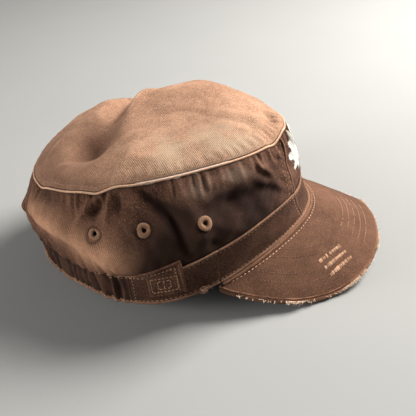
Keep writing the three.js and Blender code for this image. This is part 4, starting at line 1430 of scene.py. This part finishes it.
class CAP_OT_stage(bpy.types.Operator):
    """Pale studio floor, soft lights and the camera"""
    bl_idname = "cap.stage"
    bl_label = "Stage"

    def execute(self, context):
        scene = context.scene
        side = scene.cap_sizes.floor_size
        run, height = np.meshgrid(np.linspace(-side / 2, side / 2, 2), np.linspace(0, 1, 40), indexing="ij")
        depth = np.interp(height, (0, 0.45, 1), (-side / 2, 0.9, 1.6))
        rise = 1.5 * smooth(0.42, 1.0, height) ** 1.4
        points = np.stack([run, depth, rise], -1) / MM + np.array([ORIGIN_X, 0, -0.2])
        tree, shader = new_material("studio_paper", 0.9)
        tone = math_node(tree, "MULTIPLY", noise(tree, object_place(tree), 6, 2.0), 0.5)
        paper = mix_colour(tree, tone, srgb(134, 135, 134), srgb(143, 144, 143))
        tree.links.new(paper, shader.inputs["Base Color"])
        floor = new_piece("studio_floor", points, grid_faces(2, 40), MATERIALS["studio_paper"])
        lights = (
            ("key", (0.82, 0.50, 0.86), 0.65, 59.0, (1.0, 0.96, 0.91)),
            ("fill", (0.9, -0.9, 0.7), 1.0, 0.2, (0.97, 0.98, 1.0)),
            ("side", (-1.20, -0.46, 0.38), 0.45, 20.0, (1.0, 0.97, 0.93)),
        )
        for name, place, size, power, colour in lights:
            data = bpy.data.lights.new(name, "AREA")
            data.size, data.energy, data.color = size, power, colour
            lamp = bpy.data.objects.new(name, data)
            lamp.location = place
            aim = Vector((0, 0, 0.06)) - Vector(place)
            lamp.rotation_euler = aim.to_track_quat("-Z", "Y").to_euler()
            scene.collection.objects.link(lamp)
        world = bpy.data.worlds.new("studio")
        world.use_nodes = True
        sky = world.node_tree.nodes["Background"]
        sky.inputs["Color"].default_value = (0.75, 0.78, 0.82, 1)
        sky.inputs["Strength"].default_value = 0.19
        scene.world = world
        scene.view_settings.view_transform = "Standard"

        azimuth, elevation, roll = np.radians((5.5, 34.6, -4.0))
        target = np.array([29.0 - ORIGIN_X, -7.7, 34.6]) * MM
        flat = np.cos(elevation)
        back = np.array([np.sin(azimuth) * flat, -np.cos(azimuth) * flat, np.sin(elevation)])
        level = np.array([np.cos(azimuth), np.sin(azimuth), 0])
        upward = np.cross(back, level)
        right = level * np.cos(roll) + upward * np.sin(roll)
        top = upward * np.cos(roll) - level * np.sin(roll)
        distance, view_angle = 0.4511, 39.1
        place = target + back * distance
        lens = bpy.data.cameras.new("camera")
        lens.angle = np.radians(view_angle)
        camera = bpy.data.objects.new("camera", lens)
        axes = np.stack([right, top, back], 1)
        camera.matrix_world = Matrix([[*row, p] for row, p in zip(axes, place)] + [[0, 0, 0, 1]])
        scene.collection.objects.link(camera)
        scene.camera = camera
        return {"FINISHED"}


OPERATORS = (
    CAP_OT_crown_top, CAP_OT_crown_walls, CAP_OT_eyelets, CAP_OT_band, CAP_OT_side_tabs, CAP_OT_emblem,
    CAP_OT_peak, CAP_OT_inside, CAP_OT_stage,
)


class CAP_PT_panel(bpy.types.Panel):
    """Lists the cap's pieces"""
    bl_label = "Military Peaked Cap"
    bl_idname = "CAP_PT_panel"
    bl_space_type = "VIEW_3D"
    bl_region_type = "UI"
    bl_category = "Cap"

    def draw(self, context):
        for group in (context.scene.cap_colours, context.scene.cap_sizes):
            for key in group.__annotations__:
                self.layout.prop(group, key)
        for operator in OPERATORS:
            self.layout.operator(operator.bl_idname)


CLASSES = (CapColours, CapSizes, *OPERATORS, CAP_PT_panel)


def register():
    """Registers the add-on's classes and its two groups of properties."""
    for cls in CLASSES:
        bpy.utils.register_class(cls)
    bpy.types.Scene.cap_colours = bpy.props.PointerProperty(type=CapColours)
    bpy.types.Scene.cap_sizes = bpy.props.PointerProperty(type=CapSizes)


def unregister():
    """Takes away what register() added, in reverse order."""
    del bpy.types.Scene.cap_sizes
    del bpy.types.Scene.cap_colours
    for cls in reversed(CLASSES):
        bpy.utils.unregister_class(cls)


def main():
    """Builds every piece in order."""
    register()
    for operator in OPERATORS:
        group, name = operator.bl_idname.split(".")
        getattr(getattr(bpy.ops, group), name)()


if __name__ == "__main__":
    main()
